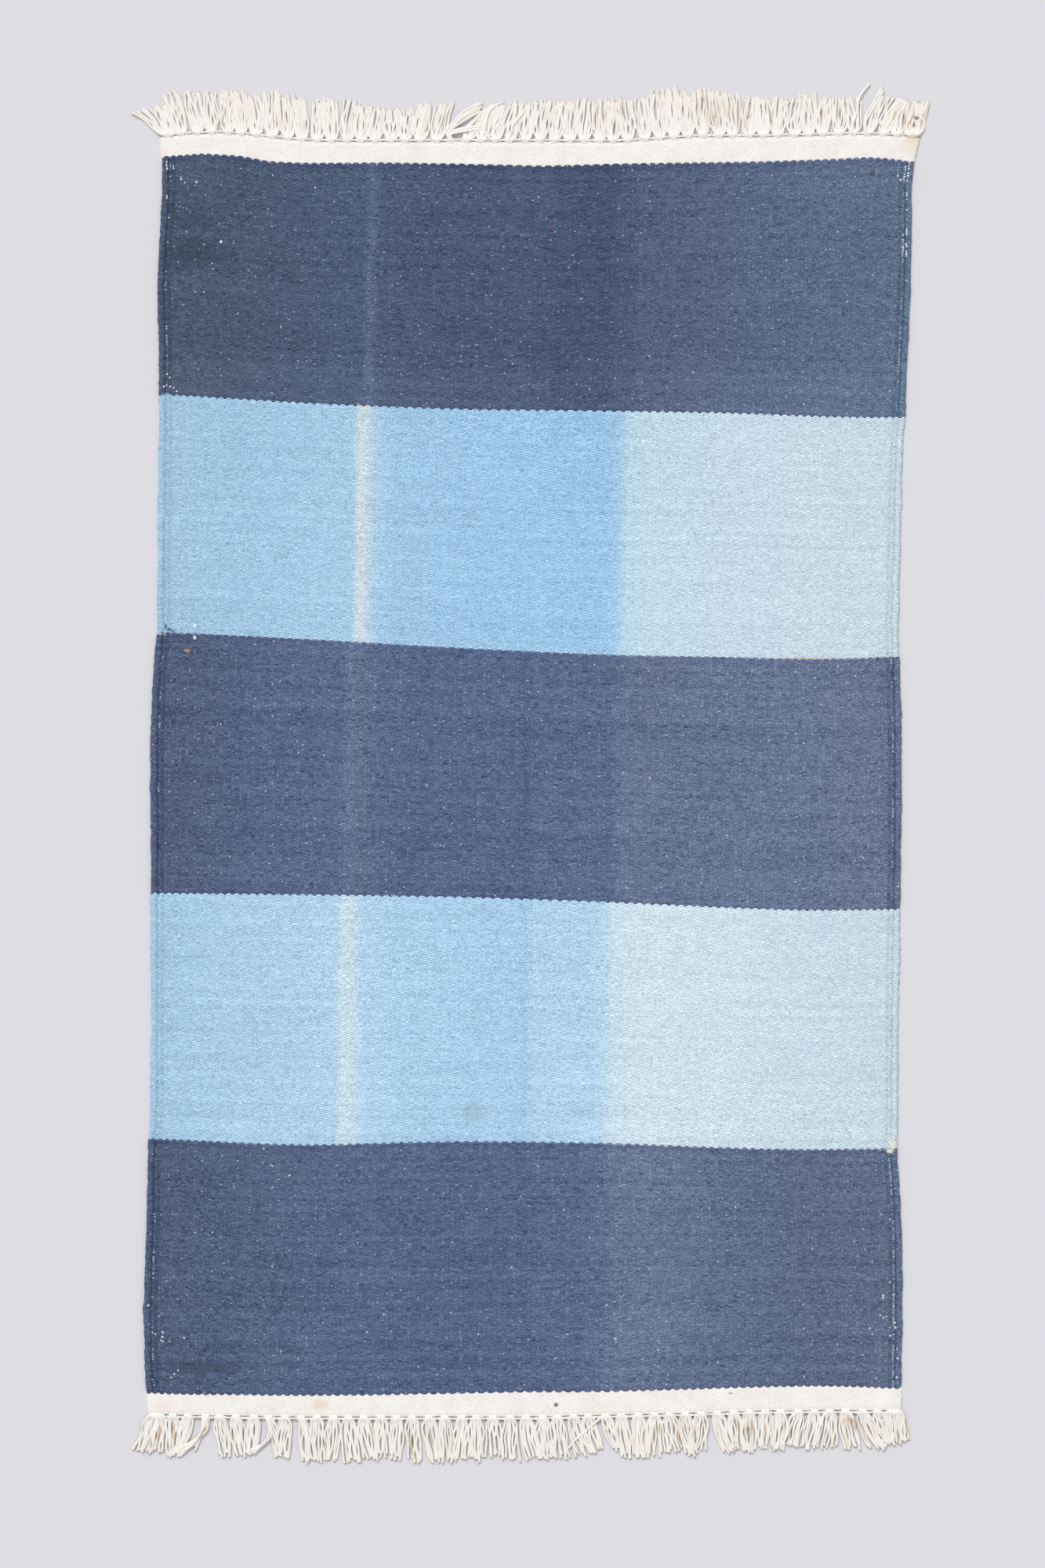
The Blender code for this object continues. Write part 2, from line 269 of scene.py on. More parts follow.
def weftBumpTree():
    # one six-sided bump on every warp and pick, with odd warps half a pick up
    tree, given = newTree("weftBumps", {
        "Warps": "Int", "Picks": "Int", "Relief": "Float", "Material": "Material"})
    lastWarp = calc(tree, "SUBTRACT", given["Warps"], 1)
    grid = geo(tree, "MeshGrid", {
        "Size X": lastWarp, "Size Y": calc(tree, "SUBTRACT", given["Picks"], 1),
        "Vertices X": given["Warps"], "Vertices Y": given["Picks"]})
    position = geo(tree, "InputPosition")
    warp = calc(tree, "MULTIPLY_ADD", lastWarp, 0.5, splitVector(tree, position)["X"])
    halfPick = calc(tree, "MULTIPLY", calc(tree, "MODULO", calc(tree, "ROUND", warp), 2), 0.5)
    points = geo(tree, "SetPosition", {"Geometry": grid, "Offset": joinVector(tree, y=halfPick)})
    circle = geo(tree, "MeshCircle", {"Vertices": 6, "Radius": 2 / 3}, fill_type="TRIANGLE_FAN")
    hexagon = geo(tree, "Transform", {"Geometry": circle, "Scale": (1, math.sqrt(3) / 2, 1)})
    middle = calc(tree, "LESS_THAN", vectorCalc(tree, "LENGTH", position), 0.1)
    rise = joinVector(tree, z=calc(tree, "MULTIPLY", middle, given["Relief"]))
    bump = geo(tree, "SetPosition", {"Geometry": hexagon, "Offset": rise})
    copies = geo(tree, "InstanceOnPoints", {"Points": points, "Instance": bump})
    joined = geo(tree, "RealizeInstances", {"Geometry": copies})
    welded = geo(tree, "MergeByDistance", {"Geometry": joined, "Distance": 0.05})
    return endTree(tree, welded, given)


def twinedStripTree():
    # a strip whose surface rises in slanting ridges, one across each warp
    tree, given = newTree("twinedStrip", {
        "Warps": "Int", "Rows": "Int", "Cuts": "Int", "Slant": "Float",
        "Ridge": "Float", "Dimple": "Float", "Material": "Material"})
    grid = geo(tree, "MeshGrid", {
        "Size X": given["Warps"], "Size Y": given["Rows"],
        "Vertices X": calc(tree, "MULTIPLY_ADD", given["Warps"], 3, 1),
        "Vertices Y": calc(tree, "MULTIPLY_ADD", given["Rows"], given["Cuts"], 1)})
    place = splitVector(tree, geo(tree, "InputPosition"))
    slanted = calc(tree, "MULTIPLY_ADD", place["X"], given["Slant"], place["Y"])
    ridge = calc(tree, "COSINE", calc(tree, "MULTIPLY", slanted, math.tau))
    dimple = calc(tree, "COSINE", calc(tree, "MULTIPLY", place["X"], math.tau))
    rise = calc(tree, "MULTIPLY", ridge, given["Ridge"])
    rise = calc(tree, "MULTIPLY_ADD", dimple, given["Dimple"], rise)
    lifted = geo(tree, "SetPosition", {"Geometry": grid, "Offset": joinVector(tree, z=rise)})
    return endTree(tree, lifted, given)


def yarnTree():
    # a round tube along every chain of edges, as thick as its points say
    tree, given = newTree("yarnTubes", {
        "Centre Lines": "Geometry", "Sides": "Int", "Material": "Material"})
    lines = geo(tree, "MeshToCurve", {"Mesh": given["Centre Lines"]})
    thickness = geo(tree, "InputNamedAttribute", {"Name": "thickness"}, data_type="FLOAT")
    sized = geo(tree, "SetCurveRadius", {"Curve": lines, "Radius": thickness})
    circle = geo(tree, "CurvePrimitiveCircle", {"Resolution": given["Sides"], "Radius": 1.0})
    marked = geo(tree, "StoreNamedAttribute", {
        "Geometry": circle, "Name": "around", "Value": geo(tree, "SplineParameter")},
        data_type="FLOAT", domain="POINT")
    tubes = addNode(tree, "GeometryNodeCurveToMesh", {
        "Curve": sized, "Profile Curve": marked, "Fill Caps": True})
    if "Scale" in tubes.inputs:
        feed(tree, tubes.inputs["Scale"], geo(tree, "InputRadius"))
    smooth = geo(tree, "SetShadeSmooth", {"Geometry": tubes.outputs[0]})
    return endTree(tree, smooth, given)


# Reading and writing mesh data in one go

def readPoints(mesh):
    values = np.empty(len(mesh.vertices) * 3)
    mesh.vertices.foreach_get("co", values)
    return values.reshape(-1, 3)


def setPoints(mesh, x, y, z):
    mesh.vertices.foreach_set("co", np.stack([x * mm, y * mm, z * mm], axis=1).ravel())


def storeValues(mesh, name, domain, *columns):
    # one value for each point or face, or three as a vector
    kind, slot = ("FLOAT_VECTOR", "vector") if len(columns) == 3 else ("FLOAT", "value")
    layer = mesh.attributes.new(name, kind, domain)
    layer.data.foreach_set(slot, np.stack(columns, axis=-1).astype(float).ravel())


def readValues(mesh, name, wide=1):
    layer = mesh.attributes[name]
    values = np.empty(len(layer.data) * wide)
    layer.data.foreach_get("vector" if wide == 3 else "value", values)
    return values.reshape(-1, wide) if wide > 1 else values


def readLoops(mesh):
    # for every face corner its vertex and its face, and for every face its corners
    vertex = np.empty(len(mesh.loops), int)
    mesh.loops.foreach_get("vertex_index", vertex)
    total = np.empty(len(mesh.polygons), int)
    mesh.polygons.foreach_get("loop_total", total)
    return vertex, np.repeat(np.arange(len(total)), total), total


def writeBakeMap(mesh, u, v):
    layer = mesh.uv_layers.new(name="OFBake")
    layer.uv.foreach_set("vector", np.stack([u, v], axis=1).ravel())


def splitRim(mesh):
    # one more point on every edge of the rim, so that its lobes come out round
    bm = bmesh.new()
    bm.from_mesh(mesh)
    rim = [edge for edge in bm.edges if edge.is_boundary]
    bmesh.ops.subdivide_edges(bm, edges=rim, cuts=1)
    bm.to_mesh(mesh)
    bm.free()


def closeUnderside(mesh, tuck):
    # a wall from the rim down to the floor and one flat face under it
    bm = bmesh.new()
    bm.from_mesh(mesh)
    weave = bm.verts.layers.float_vector["weave"]
    middle = sum((vert.co for vert in bm.verts), Vector()) / len(bm.verts)
    rim = [edge for edge in bm.edges if edge.is_boundary]
    wall = bmesh.ops.extrude_edge_only(bm, edges=rim)["geom"]
    for item in wall:
        if isinstance(item, bmesh.types.BMVert):
            item.co.x += tuck if item.co.x < middle.x else -tuck
            item.co.y += tuck if item.co.y < middle.y else -tuck
            item.co.z = 0
            item[weave].z = -1
    bmesh.ops.contextual_create(bm, geom=[edge for edge in bm.edges if edge.is_boundary])
    bmesh.ops.recalc_face_normals(bm, faces=bm.faces)
    bm.to_mesh(mesh)
    bm.free()


def smoothCloth(mesh, laid):
    # smooth all over but round the flat underside
    low = laid[:, 2] < -0.5
    mesh.polygons.foreach_set("use_smooth", np.ones(len(mesh.polygons), bool))
    ends = np.empty(len(mesh.edges) * 2, int)
    mesh.edges.foreach_get("vertices", ends)
    layer = mesh.attributes.get("sharp_edge") or mesh.attributes.new("sharp_edge", "BOOLEAN", "EDGE")
    layer.data.foreach_set("value", low[ends.reshape(-1, 2)].all(axis=1))


def mapForBake(mesh, topFaces, laid, firstRow, rows):
    # the upper face fills most of the map, the underside a strip above it and the wall the rest
    vertex, face, total = readLoops(mesh)
    points = readPoints(mesh)
    low, high = points.min(axis=0), points.max(axis=0)
    u = ((laid[:, 0] + 1) / (rug["columns"] + 2))[vertex]
    v = ((laid[:, 1] - firstRow) / rows)[vertex] * 0.66
    under = face == len(total) - 1
    spot = (points - low) / (high - low)
    u[under] = spot[vertex[under], 0] * 0.98 + 0.01
    v[under] = spot[vertex[under], 1] * 0.26 + 0.69
    wall = (face >= topFaces) & ~under
    order = np.cumsum(np.concatenate([[0], total]))[face]
    corner = np.arange(len(face)) - order
    walls = len(total) - 1 - topFaces
    step = np.isin(corner, (1, 2)) * 0.9
    u[wall] = (face[wall] - topFaces + step[wall]) / walls
    v[wall] = 0.965 + 0.03 * np.isin(corner[wall], (2, 3))
    writeBakeMap(mesh, u, v)


def finishPiece(name, mesh, nodeName):
    mesh.name = name
    piece = bpy.data.objects.new(name, mesh)
    stageScene.collection.objects.link(piece)
    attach(piece, "root")
    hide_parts(nodeName)
    return piece


# Materials

def linear(display):
    # from a colour as screens show it, 0 to 255, to the light it stands for
    values = [value / 255 for value in display]
    return [v / 12.92 if v <= 0.04045 else ((v + 0.055) / 1.055) ** 2.4 for v in values]


def newMaterial(name):
    material = bpy.data.materials.new(name)
    material.use_nodes = True
    tree = material.node_tree
    return material, tree, tree.nodes["Principled BSDF"]


def attribute(tree, name):
    return addNode(tree, "ShaderNodeAttribute", attribute_name=name).outputs


def blendColour(tree, factor, first, second, mode="MIX"):
    # sockets 6 and 7 are the Mix node's two colours
    colours = [(*value, 1) if isinstance(value, (list, tuple)) else value for value in (first, second)]
    node = addNode(tree, "ShaderNodeMix", {0: factor, 6: colours[0], 7: colours[1]},
                   data_type="RGBA", blend_type=mode)
    return node.outputs[2]


def ramp(tree, factor, stops, gain=(1, 1, 1)):
    node = addNode(tree, "ShaderNodeValToRGB", {"Fac": factor})
    elements = node.color_ramp.elements
    while len(elements) < len(stops):
        elements.new(0.5)
    for element, (place, colour) in zip(elements, stops):
        element.position = place
        element.color = (*[value * more for value, more in zip(linear(colour), gain)], 1)
    return node.outputs["Color"]


def fade(tree, value, low, high, outLow=0.0, outHigh=1.0):
    # goes softly from outLow where the value is low to outHigh where it is high
    node = addNode(tree, "ShaderNodeMapRange", {
        "Value": value, "From Min": low, "From Max": high, "To Min": outLow, "To Max": outHigh},
        interpolation_type="SMOOTHSTEP")
    return node.outputs["Result"]


def choose(tree, factor, first, second):
    # the first value where the factor is 0 and the second where it is 1
    return calc(tree, "MULTIPLY_ADD", calc(tree, "SUBTRACT", second, first), factor, first)


def sway(tree, base, value, amount, middle=0.5):
    # the base, moved up and down with a value that swings round its middle
    return calc(tree, "MULTIPLY_ADD", calc(tree, "SUBTRACT", value, middle), amount, base)


def noise(tree, vector, scale, detail=2.0, rough=0.5, offset=(0, 0, 0)):
    # three numbers as the scale stretch the pattern
    if isinstance(scale, tuple):
        vector = addNode(tree, "ShaderNodeMapping", {
            "Vector": vector, "Scale": scale, "Location": offset}).outputs[0]
        scale = 1.0
    node = addNode(tree, "ShaderNodeTexNoise", {
        "Vector": vector, "Scale": scale, "Detail": detail, "Roughness": rough})
    return node.outputs["Fac"]


def dim(tree, colour, shade):
    values = {"Vector": colour, "Scale": shade}
    return addNode(tree, "ShaderNodeVectorMath", values, operation="SCALE").outputs[0]


def addMarks(tree, position, colour, marks):
    # stains, bits and darker patches: middle, half widths, colour, strength
    for x, y, halfX, halfY, tint, strength in marks:
        moved = vectorCalc(tree, "SUBTRACT", position, (x * mm, y * mm, 0))
        scaled = vectorCalc(tree, "MULTIPLY", moved, (1 / (halfX * mm), 1 / (halfY * mm), 0))
        rough = noise(tree, position, 0.9 / (min(halfX, halfY) * mm))
        ragged = calc(tree, "MULTIPLY_ADD", rough, 0.9, vectorCalc(tree, "LENGTH", scaled))
        mask = fade(tree, ragged, 1.5, 0.7, 0.0, strength)
        colour = blendColour(tree, mask, colour, linear(tint))
    return colour


def finishCotton(tree, shader, look, colour, height):
    # the colour, a fine relief and a matte surface with a little fuzz
    strength, distance, rough, shine, fuzz = look
    relief = addNode(tree, "ShaderNodeBump", {
        "Height": height, "Strength": strength, "Distance": distance})
    for name, value in (("Base Color", colour), ("Normal", relief.outputs[0]), ("Roughness", rough),
                        ("Specular IOR Level", shine), ("Sheen Weight", fuzz)):
        feed(tree, shader.inputs[name], value)


# Streak and mottle are light and dark patches, toneSpread sets bump apart from bump, rim is the painted
# shade in the joints round a bump, groove the painted shade in the lines beside the selvedges, slip how
# unevenly the yarn lies, bits the strength of lint, calm how even the right side is, ribs the
# painted shade in the valleys between two warps within the cloth and by its sides. Gain makes up for
# what the painted shade in the joints between the bumps darkens, and toneBend is how strongly red, green
# and blue follow light and dark.
dyes = {
    "navy": {
        "gain": (1.23, 1.23, 1.255), "toneBend": (1.18, 1.05, 0.86), "joinTint": (0.93, 0.86, 0.95),
        "toneSpread": 0.40, "streak": 0.19, "mottle": 0.13, "rim": 0.62, "fibre": 1.2, "grit": 1.8,
        "slip": 1.3, "groove": 0.62, "bits": 0.8, "calm": 0.95, "ribs": (0.25, 0.30),
        "lint": linear((236, 239, 244)), "slot": "navy_cotton",
    },
    "sky": {
        "gain": (1.14, 1.15, 1.15), "toneBend": (1.14, 1.0, 0.90), "joinTint": (0.98, 0.99, 1.0),
        "toneSpread": 0.17, "streak": 0.15, "mottle": 0.04, "rim": 0.79, "fibre": 0.78, "grit": 1.1,
        "slip": 1.0, "groove": 0.84, "bits": 0.6, "calm": 0.8, "ribs": (0.13, 0.15),
        "lint": linear((246, 249, 251)), "slot": "sky_cotton",
    },
}

# What both dyes share. Three numbers are how fine a pattern is across, along and through the cloth.
clothPattern = {
    "uneven": (260, 420, 260), "slip": (300, 330, 300), "slipOffset": (7.3, 2.1, 0),
    "fibre": (430, 1150, 430), "grit": (780, 950, 780),
    "streaks": (4, 42),        # over a band's width and depth
    "mottle": 14, "waver": 40,
    "joinReach": 0.035, "joinStrength": 0.85,
    "lifts": ((0.32, 0.02), (0.7, 1.0)),       # where the near and the far rows start to lighten
    "calmFrom": 0.58, "calmTo": 0.66,          # shares of the width
    # the darkest the shade may go, and the painted light on the crowns of the bumps
    "darkest": 0.25, "paintedCrownLight": 1.10,
    # two lines of painted shade by each selvedge
    "paintedGrooveShade": ((0.0062, 1.0), (0.0128, 0.7)),  # share of the width from the selvedge, weight
    "lintScale": 125, "lintEdge": 420, "lintShake": 0.0022, "lintLuck": 0.50,
    "picksUnder": 105,         # counted on the plain underside
    # the relief's strength and depth in metres, then roughness, shine and fuzz
    "finish": (0.7, 0.00035, 0.93, 0.22, 0.04),
}

# The bands from the near end up. Shades are what a band's dye bath left across its width, as
# screens show it; lift is how much lighter its near and far rows are; the higher lintReach,
# the more lint lies on it; rightDots is how often the warps show by its right selvedge.
bands = [
    {"name": "nearNavyBand", "dye": "navy", "lift": (0.0, 0.0), "lintReach": -0.401, "rightDots": 0.6,
     "shades": [
        (0.03, (84, 98, 123)), (0.1, (84, 99, 126)), (0.2, (88, 104, 132)), (0.3, (90, 106, 136)),
        (0.45, (88, 104, 133)), (0.5, (88, 104, 133)), (0.53, (93, 110, 139)), (0.57, (92, 108, 138)),
        (0.6, (97, 113, 141)), (0.62, (104, 119, 145)), (0.66, (107, 122, 147)),
        (0.76, (100, 115, 141)), (0.87, (95, 109, 134)), (0.975, (101, 113, 137)),
        (0.99, (102, 118, 142))]},
    {"name": "nearSkyBand", "dye": "sky", "lift": (0.0, 0.0), "lintReach": -0.412, "rightDots": 0.03,
     "shades": [
        (0.0, (166, 200, 226)), (0.05, (169, 203, 229)), (0.2, (175, 208, 233)),
        (0.247, (177, 210, 234)), (0.256, (201, 222, 233)), (0.268, (199, 220, 233)),
        (0.287, (178, 211, 235)), (0.34, (172, 207, 234)), (0.49, (170, 205, 233)),
        (0.5, (165, 201, 230)), (0.515, (177, 209, 235)), (0.595, (179, 211, 236)),
        (0.603, (184, 213, 236)), (0.618, (203, 223, 236)), (0.66, (208, 226, 235)),
        (0.77, (207, 224, 234)), (0.88, (202, 221, 232)), (1.0, (202, 219, 230))]},
    {"name": "middleNavyBand", "dye": "navy", "lift": (0.0, 0.0), "lintReach": -0.407, "rightDots": 0.2,
     "shades": [
        (0.03, (84, 98, 124)), (0.15, (90, 105, 135)), (0.252, (93, 110, 140)), (0.264, (104, 120, 147)),
        (0.276, (100, 116, 142)), (0.29, (95, 111, 140)), (0.34, (90, 107, 138)), (0.49, (91, 108, 138)),
        (0.5, (86, 102, 133)), (0.51, (93, 109, 139)), (0.61, (94, 110, 140)), (0.628, (105, 120, 146)),
        (0.66, (104, 118, 144)), (0.83, (106, 121, 147)), (0.97, (108, 121, 145))]},
    {"name": "farSkyBand", "dye": "sky", "lift": (0.0, 0.0), "lintReach": -0.412, "rightDots": 0.03,
     "shades": [
        (0.0, (165, 198, 221)), (0.1, (163, 199, 226)), (0.24, (168, 203, 230)), (0.261, (168, 203, 229)),
        (0.27, (205, 220, 226)), (0.279, (203, 219, 227)), (0.29, (177, 207, 231)),
        (0.32, (161, 199, 230)), (0.605, (158, 198, 231)), (0.62, (168, 203, 232)),
        (0.633, (189, 215, 232)), (0.66, (195, 218, 232)), (0.76, (200, 219, 232)),
        (1.0, (203, 220, 229))]},
    {"name": "farNavyBand", "dye": "navy", "lift": (0.17, 0.04), "lintReach": -0.411, "rightDots": 0.36,
     "shades": [
        (0.03, (79, 92, 113)), (0.1, (77, 91, 114)), (0.272, (80, 95, 120)), (0.282, (95, 110, 137)),
        (0.293, (80, 94, 119)), (0.4, (76, 90, 116)), (0.5, (78, 92, 118)), (0.54, (74, 87, 113)),
        (0.6, (74, 87, 113)), (0.615, (79, 93, 119)), (0.632, (80, 94, 120)), (0.642, (86, 100, 125)),
        (0.7, (87, 100, 125)), (0.8, (92, 107, 133)), (0.975, (98, 113, 136)),
        (0.99, (104, 124, 144))]},
]

# Stains and bits on the bands, and three broad darker patches by the left side of the navy bands,
# in mm from the middle of the rug
bandMarks = {
    "farNavyBand": [
        (20.5, 513.5, 1.8, 1.6, (165, 60, 60), 0.9), (-311, 489, 44, 20, (54, 66, 84), 0.55),
        (-316, 520, 30, 10, (56, 70, 88), 0.45), (-339.3, 356.6, 5.0, 2.6, (176, 208, 230), 1.0),
        (-289, 500, 1.6, 1.9, (250, 251, 255), 1.0), (-312, 556, 1.4, 1.6, (240, 242, 248), 1.0),
    ],
    "farSkyBand": [
        (258, 111, 42, 1.6, (226, 190, 158), 0.6), (-155, 345, 5, 4, (232, 226, 208), 0.6),
        (-340.6, 141.5, 1.8, 3.4, (66, 96, 138), 0.9), (-337.2, 138.2, 3.4, 2.2, (62, 90, 130), 0.9),
        (-333.6, 136.8, 3.0, 1.9, (74, 104, 144), 0.8), (-313.4, 141.9, 1.9, 1.9, (255, 255, 255), 1.0),
    ],
    "middleNavyBand": [
        (-320.4, 118.6, 3.6, 2.0, (214, 160, 110), 0.9), (-313.6, 130.8, 1.9, 2.6, (250, 250, 254), 1.0),
        (-347, 134.5, 4.5, 1.5, (226, 220, 216), 0.8), (-331, 124.5, 2.4, 1.4, (150, 120, 120), 0.5),
    ],
    "nearSkyBand": [
        (-52.7, -313, 15, 14, (150, 178, 176), 0.35), (336, -341.5, 5.4, 7.5, (241, 238, 226), 1.0),
        (334.5, -342.5, 1.0, 1.2, (190, 165, 110), 0.8), (337.5, -339.8, 0.9, 1.0, (196, 175, 125), 0.7),
    ],
    "nearNavyBand": [
        (-305, -551, 55, 9, (58, 70, 92), 0.5), (335.5, -348.2, 5.0, 3.4, (241, 238, 226), 1.0),
        (339.6, -508.6, 1.3, 1.2, (248, 250, 253), 1.0), (340.4, -513.2, 1.5, 1.1, (248, 250, 253), 1.0),
        (335, -513.2, 1.0, 1.0, (238, 242, 248), 0.9), (342.2, -541.7, 1.4, 1.3, (248, 250, 253), 1.0),
        (341.9, -533.2, 1.0, 1.0, (238, 242, 248), 0.9), (341.5, -559.3, 1.3, 1.2, (244, 247, 251), 1.0),
        (322, -560, 1.1, 1.0, (236, 240, 247), 0.9), (316.5, -513.7, 1.2, 1.1, (236, 240, 247), 0.9),
        (309.7, -538.6, 1.2, 1.1, (190, 204, 222), 0.9), (327.3, -538.6, 0.9, 0.9, (200, 212, 228), 0.9),
    ],
}

# Bare warps that show between the picks beside the selvedges: middle, half widths, share
bareWarps = [
    (-339.5, 571, 2, 4.5, 0.8), (-332.8, 569.5, 2, 2.5, 0.9), (-327.4, 559.6, 2, 1.5, 1.0),
    (-320, 554, 5.2, 3, 0.25), (-339, 541, 1.8, 3.2, 0.7), (-341, 510, 1.8, 3, 0.7),
    (-336, 373, 9, 13, 0.11), (-355.5, -491, 1.8, 3, 0.8), (-339, -522.5, 16.5, 5.5, 0.15),
    (-334, -556, 5, 4, 0.14), (351, 565, 2.6, 8, 0.75), (343, 560, 2.4, 6, 0.5),
    (350.5, 545, 2, 2.5, 0.8), (350, 528, 2, 2.5, 0.8), (349.5, 511, 2, 5, 0.6),
    (349, 494, 2.4, 8, 0.7), (334, -500, 6, 30, 0.05),
]

# Bands whose first pick leaves every other warp bare: from share, to share, how often
bareJoins = {"farSkyBand": (0.07, 0.75, 0.85), "nearSkyBand": (0.0, 0.2, 0.1)}


def weftBend(tree, dye, position, weave, share, depth):
    # the yarn bends over and under the warps, a little unevenly; under the rug the warps and
    # picks are counted from the share and depth
    cloth = clothPattern
    under = calc(tree, "LESS_THAN", weave["Z"], -0.001)
    uneven = noise(tree, position, cloth["uneven"], 2.0, 0.6)
    slip = noise(tree, position, cloth["slip"], 2.0, 0.6, cloth["slipOffset"])
    warp = choose(tree, under, weave["X"], calc(tree, "MULTIPLY", share, rug["columns"]))
    pick = choose(tree, under, weave["Y"], calc(tree, "MULTIPLY", depth, cloth["picksUnder"]))
    warp = sway(tree, warp, slip, dye["slip"] * 0.9)
    pick = sway(tree, pick, uneven, dye["slip"] * 1.5)
    ups = calc(tree, "COSINE", calc(tree, "MULTIPLY", pick, math.tau))
    sides = calc(tree, "SINE", calc(tree, "MULTIPLY", warp, math.pi))
    crown = calc(tree, "MULTIPLY_ADD", calc(tree, "MULTIPLY", ups, sides), -0.5, 0.5)
    return crown, calc(tree, "ABSOLUTE", sides)


def strewLint(tree, band, position, colour):
    # the luckiest cells of a Voronoi pattern, with ragged edges
    dye, cloth = dyes[band["dye"]], clothPattern
    ragged = addNode(tree, "ShaderNodeTexNoise", {
        "Vector": position, "Scale": cloth["lintEdge"], "Detail": 1.0}).outputs["Color"]
    shake = (cloth["lintShake"], cloth["lintShake"], 0)
    bits = addNode(tree, "ShaderNodeTexVoronoi", {
        "Vector": vectorCalc(tree, "MULTIPLY_ADD", ragged, shake, position),
        "Scale": cloth["lintScale"]}, voronoi_dimensions="2D")
    luck = addNode(tree, "ShaderNodeSeparateColor", {"Color": bits.outputs["Color"]}).outputs[0]
    reach = calc(tree, "MULTIPLY_ADD", luck, cloth["lintLuck"], band["lintReach"])
    inside = fade(tree, calc(tree, "SUBTRACT", reach, bits.outputs["Distance"]), 0.0, 0.02)
    bright = fade(tree, luck, 0.8, 1.0, dye["bits"] * 0.35, dye["bits"])
    return blendColour(tree, calc(tree, "MULTIPLY", inside, bright), colour, dye["lint"])


def dyedCotton(band, seed):
    dye, cloth = dyes[band["dye"]], clothPattern
    material, tree, shader = newMaterial(band["name"] + "Cotton")
    position = addNode(tree, "ShaderNodeTexCoord").outputs["Object"]
    weave = splitVector(tree, attribute(tree, "weave")["Vector"])
    place = splitVector(tree, attribute(tree, "place")["Vector"])
    share, depth = place["X"], place["Y"]
    edge, fromJoin = (
        calc(tree, "MINIMUM", value, calc(tree, "SUBTRACT", 1.0, value)) for value in (share, depth))
    crown, onWarp = weftBend(tree, dye, position, weave, share, depth)

    # the dye across the band, with its own tint beside the joins
    colour = ramp(tree, share, band["shades"], dye["gain"])
    beside = fade(tree, fromJoin, cloth["joinReach"], 0.0, 0.0, cloth["joinStrength"])
    tinted = blendColour(tree, 1.0, colour, dye["joinTint"], "MULTIPLY")
    colour = blendColour(tree, beside, colour, tinted)

    # light and dark: streaks along the picks, patches, bump beside bump, fibres and grit
    fibres = noise(tree, position, cloth["fibre"], 2.0, 0.6)
    grit = noise(tree, position, cloth["grit"], 1.0, 0.5)
    acrossBand, upBand = (calc(tree, "MULTIPLY", *pair) for pair in zip((share, depth), cloth["streaks"]))
    streak = noise(tree, joinVector(tree, acrossBand, upBand, float(seed)), 1.0, 4.0, 0.62)
    mottle = noise(tree, position, cloth["mottle"], 3.0, 0.6)
    tone = attribute(tree, "tone")["Fac"]
    shade = 1.0
    for value, amount in (
            (streak, dye["streak"] * 2), (mottle, dye["mottle"] * 2), (tone, dye["toneSpread"]),
            (fibres, dye["fibre"]), (grit, dye["grit"])):
        shade = sway(tree, shade, value, amount)
    for (low, high), lift in zip(cloth["lifts"], band["lift"]):
        shade = calc(tree, "ADD", shade, fade(tree, depth, low, high, 0.0, lift))
    calm = fade(tree, share, cloth["calmFrom"], cloth["calmTo"], 1.0, dye["calm"])
    shade = calc(tree, "MAXIMUM", sway(tree, 1.0, shade, calm, 1.0), cloth["darkest"])
    # painted shade in the joints round each bump, painted light on its crown
    shade = calc(tree, "MULTIPLY", shade, fade(tree, crown, 0.05, 0.70, dye["rim"], cloth["paintedCrownLight"]))

    # painted shade in two grooves by each selvedge, and in the valleys between the warps
    waver = calc(tree, "MULTIPLY_ADD", noise(tree, position, cloth["waver"], 3.0, 0.7), -0.006, edge)
    for middle, weight in cloth["paintedGrooveShade"]:
        groove = calc(tree, "ABSOLUTE", calc(tree, "SUBTRACT", waver, middle))
        deep = 1 - (1 - dye["groove"]) * weight
        shade = calc(tree, "MULTIPLY", shade, fade(tree, groove, 0.0005, 0.0036, deep, 1.0))
    # painted shade in the valleys between the warps, deeper towards the selvedges
    ribs = calc(tree, "MULTIPLY", calc(tree, "SUBTRACT", 1.0, onWarp),
                fade(tree, edge, 0.045, 0.015, *dye["ribs"]))
    shade = calc(tree, "MULTIPLY", shade, calc(tree, "SUBTRACT", 1.0, ribs))
    tones = [calc(tree, "POWER", shade, bend) for bend in dye["toneBend"]]
    colour = vectorCalc(tree, "MULTIPLY", colour, joinVector(tree, *tones))
    colour = addMarks(tree, position, colour, bandMarks[band["name"]])

    # bare warps and slubs on single bumps
    fleck = attribute(tree, "fleck")["Fac"]
    size = calc(tree, "MULTIPLY_ADD", fleck, 0.42, calc(tree, "MULTIPLY_ADD", grit, 0.5, weave["Z"]))
    speck = calc(tree, "MULTIPLY", fleck, fade(tree, size, 0.86, 1.06))
    speck = calc(tree, "MULTIPLY", speck, fade(tree, onWarp, 0.62, 0.92))
    colour = blendColour(tree, speck, colour, dye["lint"])
    colour = strewLint(tree, band, position, colour)

    height = calc(tree, "MULTIPLY_ADD", crown, 2.0, calc(tree, "MULTIPLY", fibres, 0.5))
    finishCotton(tree, shader, cloth["finish"], colour, height)
    return material


